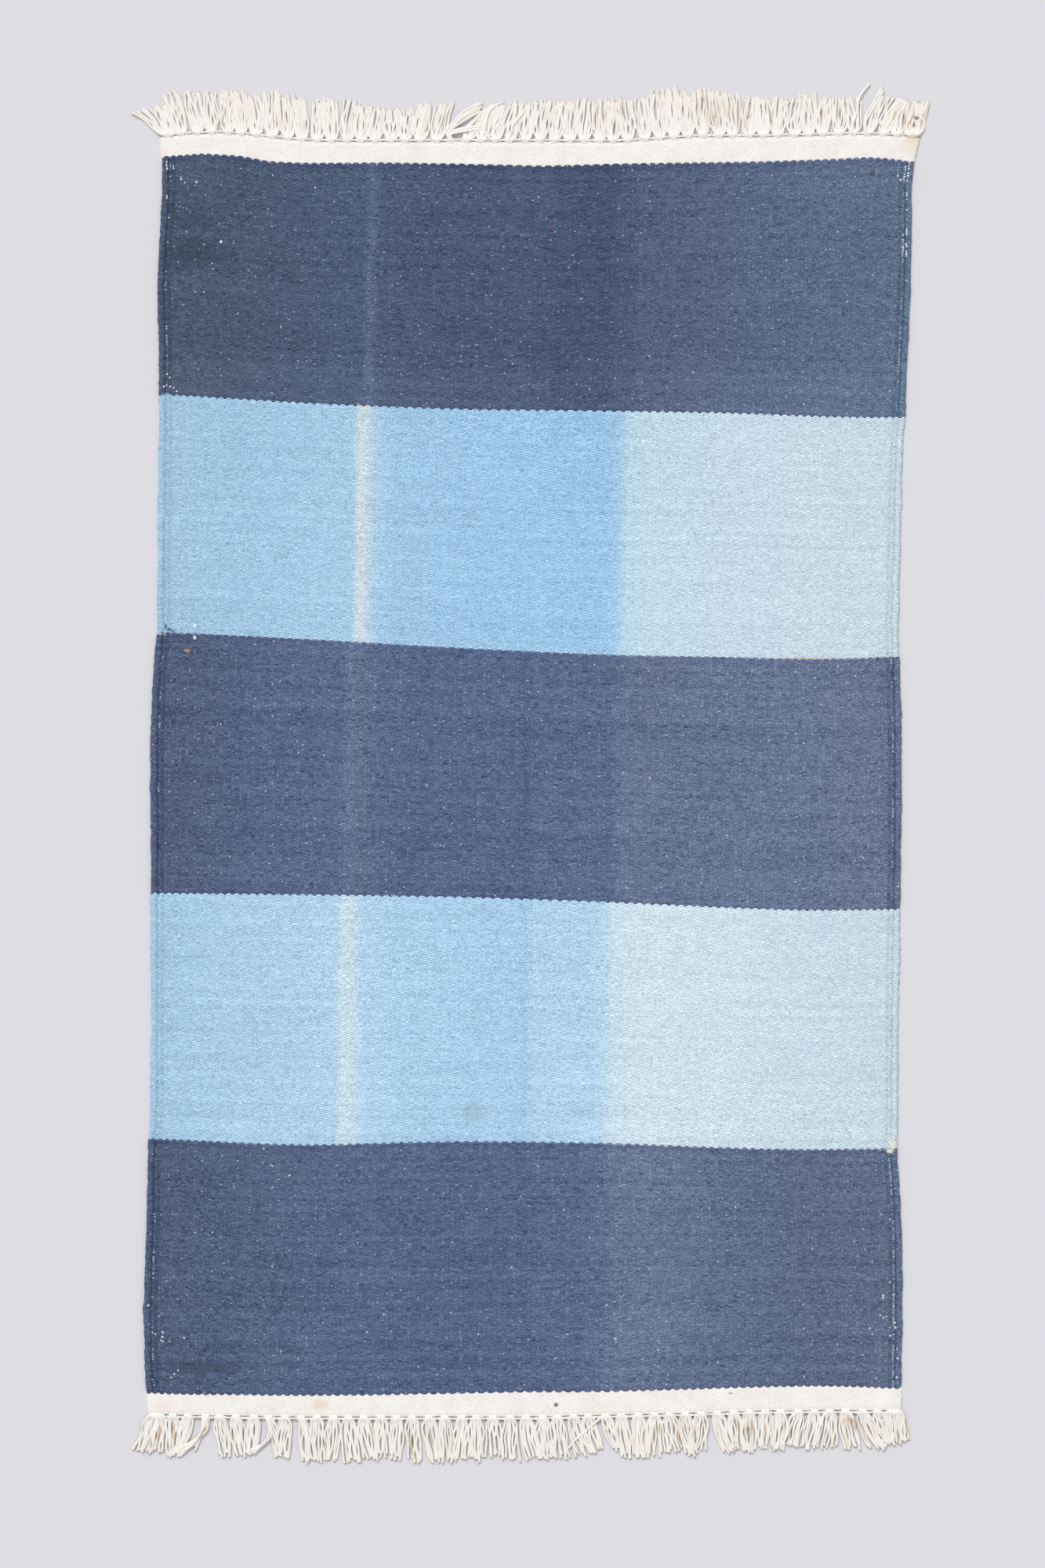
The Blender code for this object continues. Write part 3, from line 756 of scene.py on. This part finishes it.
def strewFlecks(band, chance, seed, firstRow, warp, row, share, x, y):
    # from 0 to 1, how much of a slub or a bare warp shows on each bump
    count = len(x)
    fleck = np.where(chance.random(count) < 0.03, chance.uniform(0.12, 0.5, count), 0.0)
    fromSide = np.minimum(warp, rug["columns"] - warp)
    dots = np.where(share > 0.5, band["rightDots"], 0.1)
    sideLine = (fromSide > 1.9) & (fromSide < 3.1) & (wander(row, 5, seed) > 0.8 - 2.5 * dots)
    fleck = np.where(sideLine & (chance.random(count) < 0.6), 0.62, fleck)
    fromShare, toShare, often = bareJoins.get(band["name"], (0, 0, 0))
    firstPick = (np.abs(row - firstRow - 1) < 0.2) & (share > fromShare) & (share < toShare)
    fleck = np.where(firstPick & (chance.random(count) < often), chance.uniform(0.75, 1, count), fleck)
    for middleX, middleY, halfX, halfY, often in bareWarps:
        inside = (np.abs(x - middleX) < halfX) & (np.abs(y - middleY) < halfY)
        fleck = np.where(inside & (chance.random(count) < often), 1.0, fleck)
    return fleck


def weaveBand(index, bumps):
    band = bands[index]
    material = dyedCotton(band, index * 7 + 2)
    picks = rug["bandRows"][index]
    firstRow = sum(rug["bandRows"][:index])
    mesh = runTree(bumps, {"Warps": rug["columns"], "Picks": picks, "Relief": 1.0, "Material": material})
    splitRim(mesh)
    flat = readPoints(mesh)
    warp = flat[:, 0] + rug["columns"] / 2
    row = flat[:, 1] + picks / 2 + firstRow
    crown = np.round(flat[:, 2])
    share, x, y = layWeave(warp, row)
    chance = np.random.default_rng(40 + index)
    relief = rug["relief"] * (1 + rug["reliefSpread"] * chance.uniform(-1, 1, len(x)))
    setPoints(mesh, x, y, clothHeight(share, x, y) - rug["relief"] * 0.75 + crown * relief)
    depth = (row - firstRow) / picks
    storeValues(mesh, "weave", "POINT", warp, row, crown)
    storeValues(mesh, "place", "POINT", share, depth, depth * 0)

    # every face belongs to the bump of its one crown vertex
    vertex, face, total = readLoops(mesh)
    topFaces = len(total)
    middle = np.zeros(topFaces, int)
    atCrown = crown[vertex] > 0.5
    middle[face[atCrown]] = vertex[atCrown]
    tone = chance.normal(0.5, 0.28, len(x)) + 0.22 * wander(row, 1.0, 90 + index)
    fleck = strewFlecks(band, chance, 60 + index, firstRow, warp, row, share, x, y)
    closeUnderside(mesh, 0.5 * mm)
    below = len(mesh.polygons) - topFaces
    storeValues(mesh, "tone", "FACE", np.append(tone[middle], [0.5] * below))
    storeValues(mesh, "fleck", "FACE", np.append(fleck[middle], [0.0] * below))

    laid = readValues(mesh, "weave", 3)
    smoothCloth(mesh, laid)
    mapForBake(mesh, topFaces, laid, firstRow - 1, picks + 2)
    piece = finishPiece(band["name"], mesh, "dyed_field")
    return piece


# The cream end webs

endWeb = {
    "rows": 6, "cuts": 5,      # rows of twining, and the cuts in each
    "slant": 0.62,             # rows that a ridge drops from one warp to the next
    "ridge": {"near": 0.20, "far": 0.09}, "dimple": {"near": 0.03, "far": 0.03},
    "short": 2.0,              # how far it stops before the rim, in mm
    "finish": (0.5, 0.00025, 0.95, 0.2, 0.08),
    "tuck": 0.10,              # share of the depth that runs on under the dyed field
    "heights": [(-0.10, 1.9), (-0.03, 2.6), (0.04, 3.3), (0.86, 3.3), (0.94, 2.8), (1.0, 2.7)],
    "marks": [
        (-196.8, -586, 9, 7, (226, 204, 178), 0.5), (186.5, -574.5, 3.0, 1.0, (150, 100, 60), 0.8),
        (23.4, -585.3, 3.0, 2.6, (88, 66, 58), 0.95), (298, -600.5, 9, 7, (214, 184, 146), 0.55),
        (358, 596, 14, 6, (222, 200, 174), 0.6), (360, 616, 4, 2.4, (140, 96, 60), 0.8),
        (357.5, 609, 2.2, 3.6, (140, 96, 64), 0.7), (-341, 583, 6, 9, (240, 216, 200), 0.4),
        (-344, -588, 12, 9, (238, 222, 212), 0.5), (121, -609, 8, 7, (216, 192, 164), 0.5),
        (356, 588, 11, 13, (240, 222, 200), 0.55),
    ],
}


def creamWebCotton():
    material, tree, shader = newMaterial("creamWebCotton")
    position = addNode(tree, "ShaderNodeTexCoord").outputs["Object"]
    weave = splitVector(tree, attribute(tree, "weave")["Vector"])
    crown = calc(tree, "MAXIMUM", weave["Z"], 0.0)
    colour = ramp(tree, noise(tree, position, 60.0, 4.0, 0.65), [
        (0.3, (243, 237, 231)), (0.5, (248, 244, 240)), (0.72, (252, 250, 247))])
    shade = fade(tree, noise(tree, position, (560, 420, 560), 3.0, 0.65), 0.50, 0.72, 1.0, 0.84)
    # painted shade in the hollows between the twined ridges
    shade = calc(tree, "MULTIPLY", shade, fade(tree, crown, 0.0, 0.7, 0.95, 1.0))
    colour = addMarks(tree, position, dim(tree, colour, shade), endWeb["marks"])
    fibres = noise(tree, position, (900, 1300, 900), 3.0, 0.7)
    finishCotton(tree, shader, endWeb["finish"], colour, fibres)
    return material


def weaveEndWeb(end, strip, material):
    ridge, dimple = endWeb["ridge"][end], endWeb["dimple"][end]
    mesh = runTree(strip, {
        "Warps": rug["columns"], "Rows": endWeb["rows"], "Cuts": endWeb["cuts"],
        "Slant": endWeb["slant"], "Ridge": ridge, "Dimple": dimple, "Material": material})
    flat = readPoints(mesh)
    warp = flat[:, 0] + rug["columns"] / 2
    up = (flat[:, 1] + endWeb["rows"] / 2) / endWeb["rows"]
    rise = flat[:, 2] / (ridge + dimple)
    depth = (1 - up if end == "near" else up) * (1 + endWeb["tuck"]) - endWeb["tuck"]
    share = warpShare(warp)
    fromEdge = np.minimum(share, 1 - share)
    join, rim = endLine(end, "join", share), endLine(end, "rim", share)
    outward = -1 if end == "near" else 1
    rimWave = 0.35 * wander(warp, 2.3, 31) * np.clip(depth * 3 - 2, 0, 1)
    y = join + (rim - endWeb["short"] * outward - join) * depth + rimWave
    x = acrossCloth(share, y) + 0.3 * wander(y, 2.0, 33) * np.exp(-fromEdge / 0.01)
    z = readTable(endWeb["heights"], depth)
    z = z - 0.8 * np.exp(-fromEdge / 0.003) + 0.25 * wander(share, 0.021, 35) * wander(depth, 0.5, 36)
    setPoints(mesh, x, y, z + flat[:, 2] * (1 + 0.3 * wander(warp, 2.1, 37)))
    storeValues(mesh, "weave", "POINT", warp, depth, rise * 0.5 + 0.5)
    topFaces = len(mesh.polygons)
    closeUnderside(mesh, 0.0)
    laid = readValues(mesh, "weave", 3)
    smoothCloth(mesh, laid)
    mapForBake(mesh, topFaces, laid, -0.2, 1.3)
    return finishPiece(end + "CreamWeb", mesh, end + "_end")


# The fringe: every yarn is a centre line that Geometry Nodes turn into a tube

yarn = {
    "points": 12, "sides": 6, "corner": 18, "cornerSpread": (2.4, 1.25, 1.9),
    "fibreRadius": 0.42, "fibreLength": (0.8, 2.4), "fibreSides": 3,
    "rimWidth": 702, "lift": 3.7, "rest": 1.05, "clear": 0.05, "flare": (1.04, 1.08),
    "twist": 2.6,              # mm of yarn to a turn of its plies
    "shades": [(0.0, (214, 190, 166)), (0.2, (244, 236, 226)), (0.45, (252, 248, 243)),
               (1.0, (254, 252, 249))],
    "tip": (250, 243, 232), "finish": (0.4, 0.0002, 0.95, 0.2, 0.12),
}

# How the fringe lies, from the left: share, reach past the rim and lean to the right, in mm.
# Sweeps are yarns that leave their neighbours: knot, yarns, two bends and the tip from the knot.
# Each end also sets how dark the painted shade on the sides of its yarns goes.
fringes = {
    "far": {
        "seed": 23, "neck": 1.7, "belly": 0.55, "bunch": (0.88, 1.14),
        "radius": 1.14, "perKnot": (9, 11), "fibres": 6, "paintedFlankShade": 0.97, "tipTint": 0.4,
        "stray": 2.2, "stack": (0.0, 0.2, 0.7),
        "tan": [(0, 0.05), (0.53, 0.05), (0.57, 0.4), (0.61, 0.4), (0.64, 0.05), (0.7, 0.1),
                (0.73, 0.7), (0.76, 0.6), (0.79, 0.1), (0.93, 0.1), (0.97, 0.35), (1, 0.6)],
        "lie": [
            (0, 22, -19), (0.015, 32, -14), (0.03, 37, -11), (0.06, 35, -7), (0.1, 37, -1),
            (0.16, 41, 0), (0.24, 39, 0), (0.28, 32, 2), (0.371, 32, 2), (0.373, 36, 24),
            (0.4, 30, 19), (0.43, 33, 11), (0.5, 35, 4), (0.6, 39, 0), (0.68, 44, -3),
            (0.8, 38, 1), (0.921, 36, 2), (0.922, 33, 16), (0.96, 32, 12), (1, 28, 3),
        ],
        "sweeps": [
            (19, 6, (-11, 8), (1, 22), (27, 35)), (19, 4, (-5, 9), (12, 7), (33, 9)),
            (22, 1, (-9, 7), (-8, 21), (6, 29)), (23, 1, (7, 12), (12, 19), (20, 24)),
            (46, 1, (4, 14), (8, 26), (14, 39)), (47, 3, (-3, 14), (9, 20), (15, 36)),
        ],
    },
    "near": {
        "seed": 12, "neck": 3.1, "belly": 0.48, "bunch": (0.74, 1.08),
        "radius": 1.24, "perKnot": (7, 8), "fibres": 6, "paintedFlankShade": 0.7, "tipTint": 0.4,
        "stray": 2.8, "stack": (0.0, 0.6, 1.4),
        "tan": [(0, 0.6), (0.03, 0.15), (0.1, 0.05), (0.6, 0.1), (0.66, 0.3), (0.7, 0.3), (0.75, 0.15),
                (0.88, 0.3), (0.93, 0.5), (1, 0.5)],
        "lie": [
            (0, 36, -10), (0.03, 36, -5), (0.05, 36, -12), (0.084, 31, -15), (0.086, 36, 8), (0.15, 35, -3),
            (0.2, 38, 0), (0.4, 40, 2), (0.55, 37, 7), (0.6, 34, 11), (0.66, 38, -2),
            (0.7, 36, 9), (0.8, 35, 3), (0.87, 34, -9), (0.895, 35, -5), (0.905, 35, 2),
            (0.93, 34, 9), (0.955, 34, 14), (0.97, 32, 2), (0.985, 31, -3), (1, 27, 4),
        ],
        "sweeps": [
            (3, 5, (4, 14), (-8, 24), (-25, 31)), (7, 3, (9, 12), (2, 25), (-18, 27)),
            (28, 1, (-8, 7), (-20, 14), (-33, 23)), (9, 2, (9, 9), (14, 22), (6, 36)),
        ],
    },
}


def creamYarnCotton(end):
    look = fringes[end]
    material, tree, shader = newMaterial(end + "YarnCotton")
    place = addNode(tree, "ShaderNodeTexCoord").outputs
    position, upward = place["Object"], splitVector(tree, place["Normal"])["Z"]
    along, around, shade = (attribute(tree, name)["Fac"] for name in ("along", "around", "shade"))
    twist = calc(tree, "MULTIPLY_ADD", along, 1 / yarn["twist"], calc(tree, "MULTIPLY", around, 2))
    ply = calc(tree, "COSINE", calc(tree, "MULTIPLY", twist, math.tau))
    ply = calc(tree, "MULTIPLY_ADD", ply, 0.5, 0.5)
    colour = ramp(tree, shade, yarn["shades"])
    # the cut ends are a little darker; only the cord is longer than any yarn
    towardTip = calc(tree, "MULTIPLY_ADD", noise(tree, position, 90.0), 30.0, along)
    tinted = calc(tree, "MULTIPLY", fade(tree, towardTip, 28.0, 54.0, 0.0, look["tipTint"]),
                  calc(tree, "LESS_THAN", along, 60.0))
    colour = blendColour(tree, tinted, colour, linear(yarn["tip"]))
    fuzz = noise(tree, position, 700.0, 3.0, 0.7)
    # painted shade in the creases between the plies, with a random fuzz tone
    tone = calc(tree, "MULTIPLY", fade(tree, ply, 0.0, 0.45, 0.93, 1.0),
                fade(tree, fuzz, 0.2, 0.6, 0.95, 1.0))
    # painted shade on the sides of each yarn that turn away from above
    tone = calc(tree, "MULTIPLY", tone, fade(tree, upward, 0.0, 0.8, look["paintedFlankShade"], 1.0))
    colour = addMarks(tree, position, dim(tree, colour, tone), endWeb["marks"])
    finishCotton(tree, shader, yarn["finish"], colour, calc(tree, "MULTIPLY_ADD", fuzz, 0.5, ply))
    return material


def bendThrough(points, count):
    # a cubic bend from the first of four points to the last
    t = np.linspace(0, 1, count)[:, None]
    start, first, second, tip = (np.array(point, float) for point in points)
    return start * (1 - t) ** 3 + 3 * first * t * (1 - t) ** 2 + 3 * second * t * t * (1 - t) + tip * t ** 3


def fringeYarns(end):
    look = fringes[end]
    chance = random.Random(look["seed"])
    knots = rug["knots"][end]
    outward = 1 if end == "far" else -1
    room = yarn["rimWidth"] / knots
    strands = []
    swept = {knot: [] for knot in range(knots)}
    for knot, count, *bends in look["sweeps"]:
        swept[knot] += [bends] * count
    for knot in range(knots):
        share = (knot + 0.5) / knots
        atCorner = knot in (0, knots - 1)
        wideNeck, wideBelly, wideTip = yarn["cornerSpread"] if atCorner else (1, 1, 1)
        rimY = float(endLine(end, "rim", np.array(share)))
        knotX = float(acrossCloth(share, rimY)) + chance.uniform(-1.2, 1.2) * (not atCorner)
        count = yarn["corner"] if atCorner else chance.randint(*look["perKnot"])
        bunch = chance.uniform(*look["bunch"])
        pinch = chance.uniform(-2.5, 2.5)
        knotReach = chance.uniform(0.90, 1.06)
        knotLean = chance.gauss(0, look["stray"]) * (not atCorner)
        for number in range(count):
            fan = (number + 0.5) / count * 2 - 1
            lieShare = min(max(share + fan * 0.42 / knots, 0), 1)
            reach, lean = (float(readTable(look["lie"], lieShare, value)) for value in (1, 2))
            reach *= chance.uniform(0.92, 1.06) * knotReach
            lean += knotLean
            neckX = knotX + fan * look["neck"] * wideNeck
            bellyX = knotX + fan * room * look["belly"] * wideBelly
            spread = room * 0.5 * bunch * wideTip
            tipX = knotX + fan * spread + lean + pinch * (1 - abs(fan)) + chance.uniform(-1.8, 1.8)
            rest = yarn["rest"] + chance.choice(look["stack"]) + 0.5 * (1 - abs(fan))
            wave, phase, bow = chance.uniform(0.2, 1.1), chance.uniform(0, 1), chance.uniform(-1.8, 1.8)
            if swept[knot]:
                first, second, tip = swept[knot].pop()
                spread = fan * 6.5
                nudge = [chance.uniform(-0.8, 0.8) for _ in range(6)]
                path = bendThrough([
                    (neckX, 0), (knotX + first[0] + spread * 0.6 + nudge[0], first[1] + nudge[1]),
                    (knotX + second[0] + spread + nudge[2], second[1] - spread * 0.8 + nudge[3]),
                    (knotX + tip[0] + nudge[4] * 2, tip[1] - spread * 1.2 + nudge[5])],
                    yarn["points"] + 4)
                rest = 3.2 + chance.uniform(-0.4, 0.6)
            else:
                path = bendThrough([
                    (neckX, 0), (bellyX + (bellyX - knotX) * 0.38 + lean * 0.1, reach * 0.14),
                    (bellyX + lean * 0.4 + bow, reach * 0.6), (tipX, reach)], yarn["points"])
            t = np.linspace(0, 1, len(path))
            path[:, 0] += wave * np.sin((t * 1.6 + phase) * math.tau) * np.clip(t * 3, 0, 1)
            # down from the knot, level on the floor or on other yarns, and to the floor at the tip
            height = rest + (yarn["lift"] - rest) * np.exp(-((t * reach) / 4.6) ** 2)
            tipHeight = yarn["rest"] + chance.uniform(0, 0.7)
            height = height + (tipHeight - height) * t ** 3
            y = rimY + outward * (path[:, 1] - 1.0)
            inner = np.array([[knotX + fan * room * 0.2, rimY - outward * 3.6, 1.9]])
            points = np.vstack([inner, np.stack([path[:, 0], y, height], axis=1)])
            thick = np.full(len(points), look["radius"] * chance.uniform(0.88, 1.1))
            thick[-2:] *= yarn["flare"]
            thick[0] *= 0.6
            points[:, 2] = np.maximum(points[:, 2], thick + yarn["clear"])
            tint = chance.gauss(0.55, 0.12)
            tanned = float(readTable(look["tan"], lieShare))
            brown = chance.uniform(0.35, 0.62) if chance.random() < tanned else 0.0
            patch = np.exp(-((np.linspace(0, 1, len(points)) - chance.uniform(0.4, 0.95)) / 0.22) ** 2)
            strands.append({"points": points, "thick": thick, "shade": tint - brown * patch,
                            "sides": yarn["sides"]})
            for _ in range(look["fibres"]):
                strands.append(looseFibre(chance, points[-2:], tint))
        strands.append(knotWrap(chance, knotX, rimY, outward, atCorner))
    return strands + cordStrands(end, knots, outward)


def looseFibre(chance, lastTwo, tint):
    # one thin fibre of a frayed tip
    before, tip = lastTwo
    start = tip - (tip - before) * chance.uniform(0.0, 0.6)
    way = (tip - before) / np.linalg.norm(tip - before)
    turn = chance.uniform(-0.38, 0.38)
    way = np.array([way[0] - way[1] * turn, way[1] + way[0] * turn, 0])
    length = chance.uniform(*yarn["fibreLength"])
    offset = np.array([chance.uniform(-1.0, 1.0), chance.uniform(-0.4, 0.4), chance.uniform(-0.3, 0.5)])
    bend = np.array([chance.uniform(-0.8, 0.8), chance.uniform(-0.8, 0.8), 0])
    points = np.array([start + offset + way * length * t + bend * t * t for t in (0, 0.4, 0.75, 1)])
    thick = np.array([1, 1, 0.8, 0.35]) * yarn["fibreRadius"] * chance.uniform(0.8, 1.3)
    points[:, 2] = np.maximum(points[:, 2], thick + yarn["clear"])
    return {"points": points, "thick": thick, "shade": tint + 0.1, "sides": yarn["fibreSides"]}


def knotWrap(chance, knotX, rimY, outward, atCorner):
    # the turn of a knot over the cord
    half = 3.4 if atCorner else 1.7
    t = np.linspace(-1, 1, 7)
    x = knotX + t * half + chance.uniform(-0.3, 0.3)
    y = rimY + outward * (-0.2 + 0.45 * t + 0.5 * (1 - t * t)) + chance.uniform(-0.2, 0.2)
    z = 2.2 + 2.0 * np.sqrt(np.clip(1 - t * t, 0, 1))
    # the wrap's yarn is given a darker shade than the hanging yarns, painted shade on its flat top
    return {"points": np.stack([x, y, z], axis=1), "thick": np.full(7, 0.6),
            "shade": chance.gauss(0.36, 0.05), "sides": yarn["sides"]}


def cordStrands(end, knots, outward):
    # two yarns along the rim that part between the knots and cross at each
    strands = []
    t = np.linspace(0, 1, knots * 6 + 1)
    rimY = endLine(end, "rim", t)
    x = acrossCloth(t, rimY)
    swing = np.abs(np.sin(t * knots * math.pi))
    slack = wander(t * knots, 1.0, fringes[end]["seed"])
    for side in (1, -1):
        y = rimY + outward * (-0.1 + side * 1.05 * swing + 0.35 * slack * swing)
        z = 2.3 + 0.5 * side * np.cos(t * knots * math.pi)
        strands.append({"points": np.stack([x, y, z], axis=1), "thick": np.full(len(t), 0.85),
                        "shade": 0.62, "sides": yarn["sides"]})
    return strands


def tubeMesh(tubes, strands, sides, material):
    # centre lines with their values, turned into tubes
    chosen = [strand for strand in strands if strand["sides"] == sides]
    edges = []
    values = {"thickness": [], "along": [], "run": [], "shade": [], "cell": []}
    first = 0
    for number, strand in enumerate(chosen):
        count = len(strand["points"])
        steps = np.linalg.norm(np.diff(strand["points"], axis=0), axis=1)
        travelled = np.concatenate([[0], np.cumsum(steps)])
        own = (strand["thick"] * mm, travelled, travelled / travelled[-1], strand["shade"], number)
        for rows, value in zip(values.values(), own):
            rows.append(np.broadcast_to(value, count))
        edges += [(first + step, first + step + 1) for step in range(count - 1)]
        first += count
    source = bpy.data.meshes.new("centreLines")
    source.from_pydata(np.concatenate([strand["points"] for strand in chosen]) * mm, edges, [])
    for name, rows in values.items():
        storeValues(source, name, "POINT", np.concatenate(rows))
    return runTree(tubes, {"Sides": sides, "Material": material}, source), len(chosen)


def mapTubes(mesh, cells, low, high):
    # each tube gets its own small strip of the map between low and high
    vertex, face, total = readLoops(mesh)
    cell, run, around = (readValues(mesh, name)[vertex] for name in ("cell", "run", "around"))
    cell = np.round(cell)
    cap = total[face] != 4
    most = np.zeros(len(total))
    np.maximum.at(most, face, around)
    around = np.where((most[face] > 0.7) & (around < 0.3) & ~cap, around + 1, around)
    perRow = 8
    rows = math.ceil(cells / perRow)
    across = np.where(cap, 0.95 + 0.025 * np.cos(around * math.tau), 0.04 + run * 0.86)
    up = np.where(cap, 0.5 + 0.3 * np.sin(around * math.tau), 0.08 + around * 0.84)
    writeBakeMap(mesh, (cell % perRow + across) / perRow,
                 low + (high - low) * (np.floor(cell / perRow) + up) / rows)


def spinFringe(end, tubes, material):
    strands = fringeYarns(end)
    bm = bmesh.new()
    for sides, low, high in ((yarn["sides"], 0.0, 0.75), (yarn["fibreSides"], 0.75, 1.0)):
        mesh, count = tubeMesh(tubes, strands, sides, material)
        mapTubes(mesh, count, low, high)
        bm.from_mesh(mesh)
    bmesh.ops.recalc_face_normals(bm, faces=bm.faces)
    bm.to_mesh(mesh)
    bm.free()
    return finishPiece(end + "KnottedFringe", mesh, end + "_end")


# The floor, the light and the camera

studio = {
    "floor": (223, 222, 227), "floorSize": 8.0,
    "world": 0.62,
    "sun": 1.636, "sunFrom": (-0.35, 0.92, 1.05), "sunAngle": 14,
    "frameHeight": 1.463, "middle": (-0.00768, -0.00585), "distance": 3.0, "sensor": 36,
}


def buildStudio():
    half = studio["floorSize"] / 2
    mesh = bpy.data.meshes.new("floor")
    corners = [(-half, -half, 0), (half, -half, 0), (half, half, 0), (-half, half, 0)]
    mesh.from_pydata(corners, [], [(0, 1, 2, 3)])
    floor = bpy.data.objects.new("floor", mesh)
    stageScene.collection.objects.link(floor)
    material, tree, shader = newMaterial("paleFloor")
    feed(tree, shader.inputs["Base Color"], (*linear(studio["floor"]), 1))
    feed(tree, shader.inputs["Roughness"], 0.9)
    feed(tree, shader.inputs["Specular IOR Level"], 0.1)
    mesh.materials.append(material)

    world = bpy.data.worlds.new("softStudio")
    world.use_nodes = True
    background = world.node_tree.nodes["Background"]
    background.inputs["Color"].default_value = (1.0, 1.0, 1.0, 1)
    background.inputs["Strength"].default_value = studio["world"]
    stageScene.world = world
    stageScene.view_settings.view_transform = "Standard"
    lamp = bpy.data.lights.new("windowLight", "SUN")
    lamp.energy = studio["sun"]
    lamp.angle = math.radians(studio["sunAngle"])
    sun = bpy.data.objects.new("windowLight", lamp)
    sun.rotation_euler = Vector(studio["sunFrom"]).to_track_quat("Z", "Y").to_euler()
    stageScene.collection.objects.link(sun)

    lens = bpy.data.cameras.new("camera")
    lens.sensor_fit = "VERTICAL"
    lens.sensor_height = studio["sensor"]
    lens.lens = studio["sensor"] * studio["distance"] / studio["frameHeight"]
    lens.clip_end = 50
    camera = bpy.data.objects.new("camera", lens)
    camera.location = (*studio["middle"], studio["distance"] + rug["clothHeight"] * mm)
    stageScene.collection.objects.link(camera)
    stageScene.camera = camera


buildStudio()
print("studio ready")

bumpTree = weftBumpTree()
for bandIndex in range(len(bands)):
    woven = weaveBand(bandIndex, bumpTree)
    print("wove", woven.name, len(woven.data.polygons), "faces")

webTree = twinedStripTree()
tubeTree = yarnTree()
webCotton = creamWebCotton()
for endName in ("near", "far"):
    webPiece = weaveEndWeb(endName, webTree, webCotton)
    fringePiece = spinFringe(endName, tubeTree, creamYarnCotton(endName))
    print("finished", endName, "end", len(fringePiece.data.polygons), "faces of fringe")
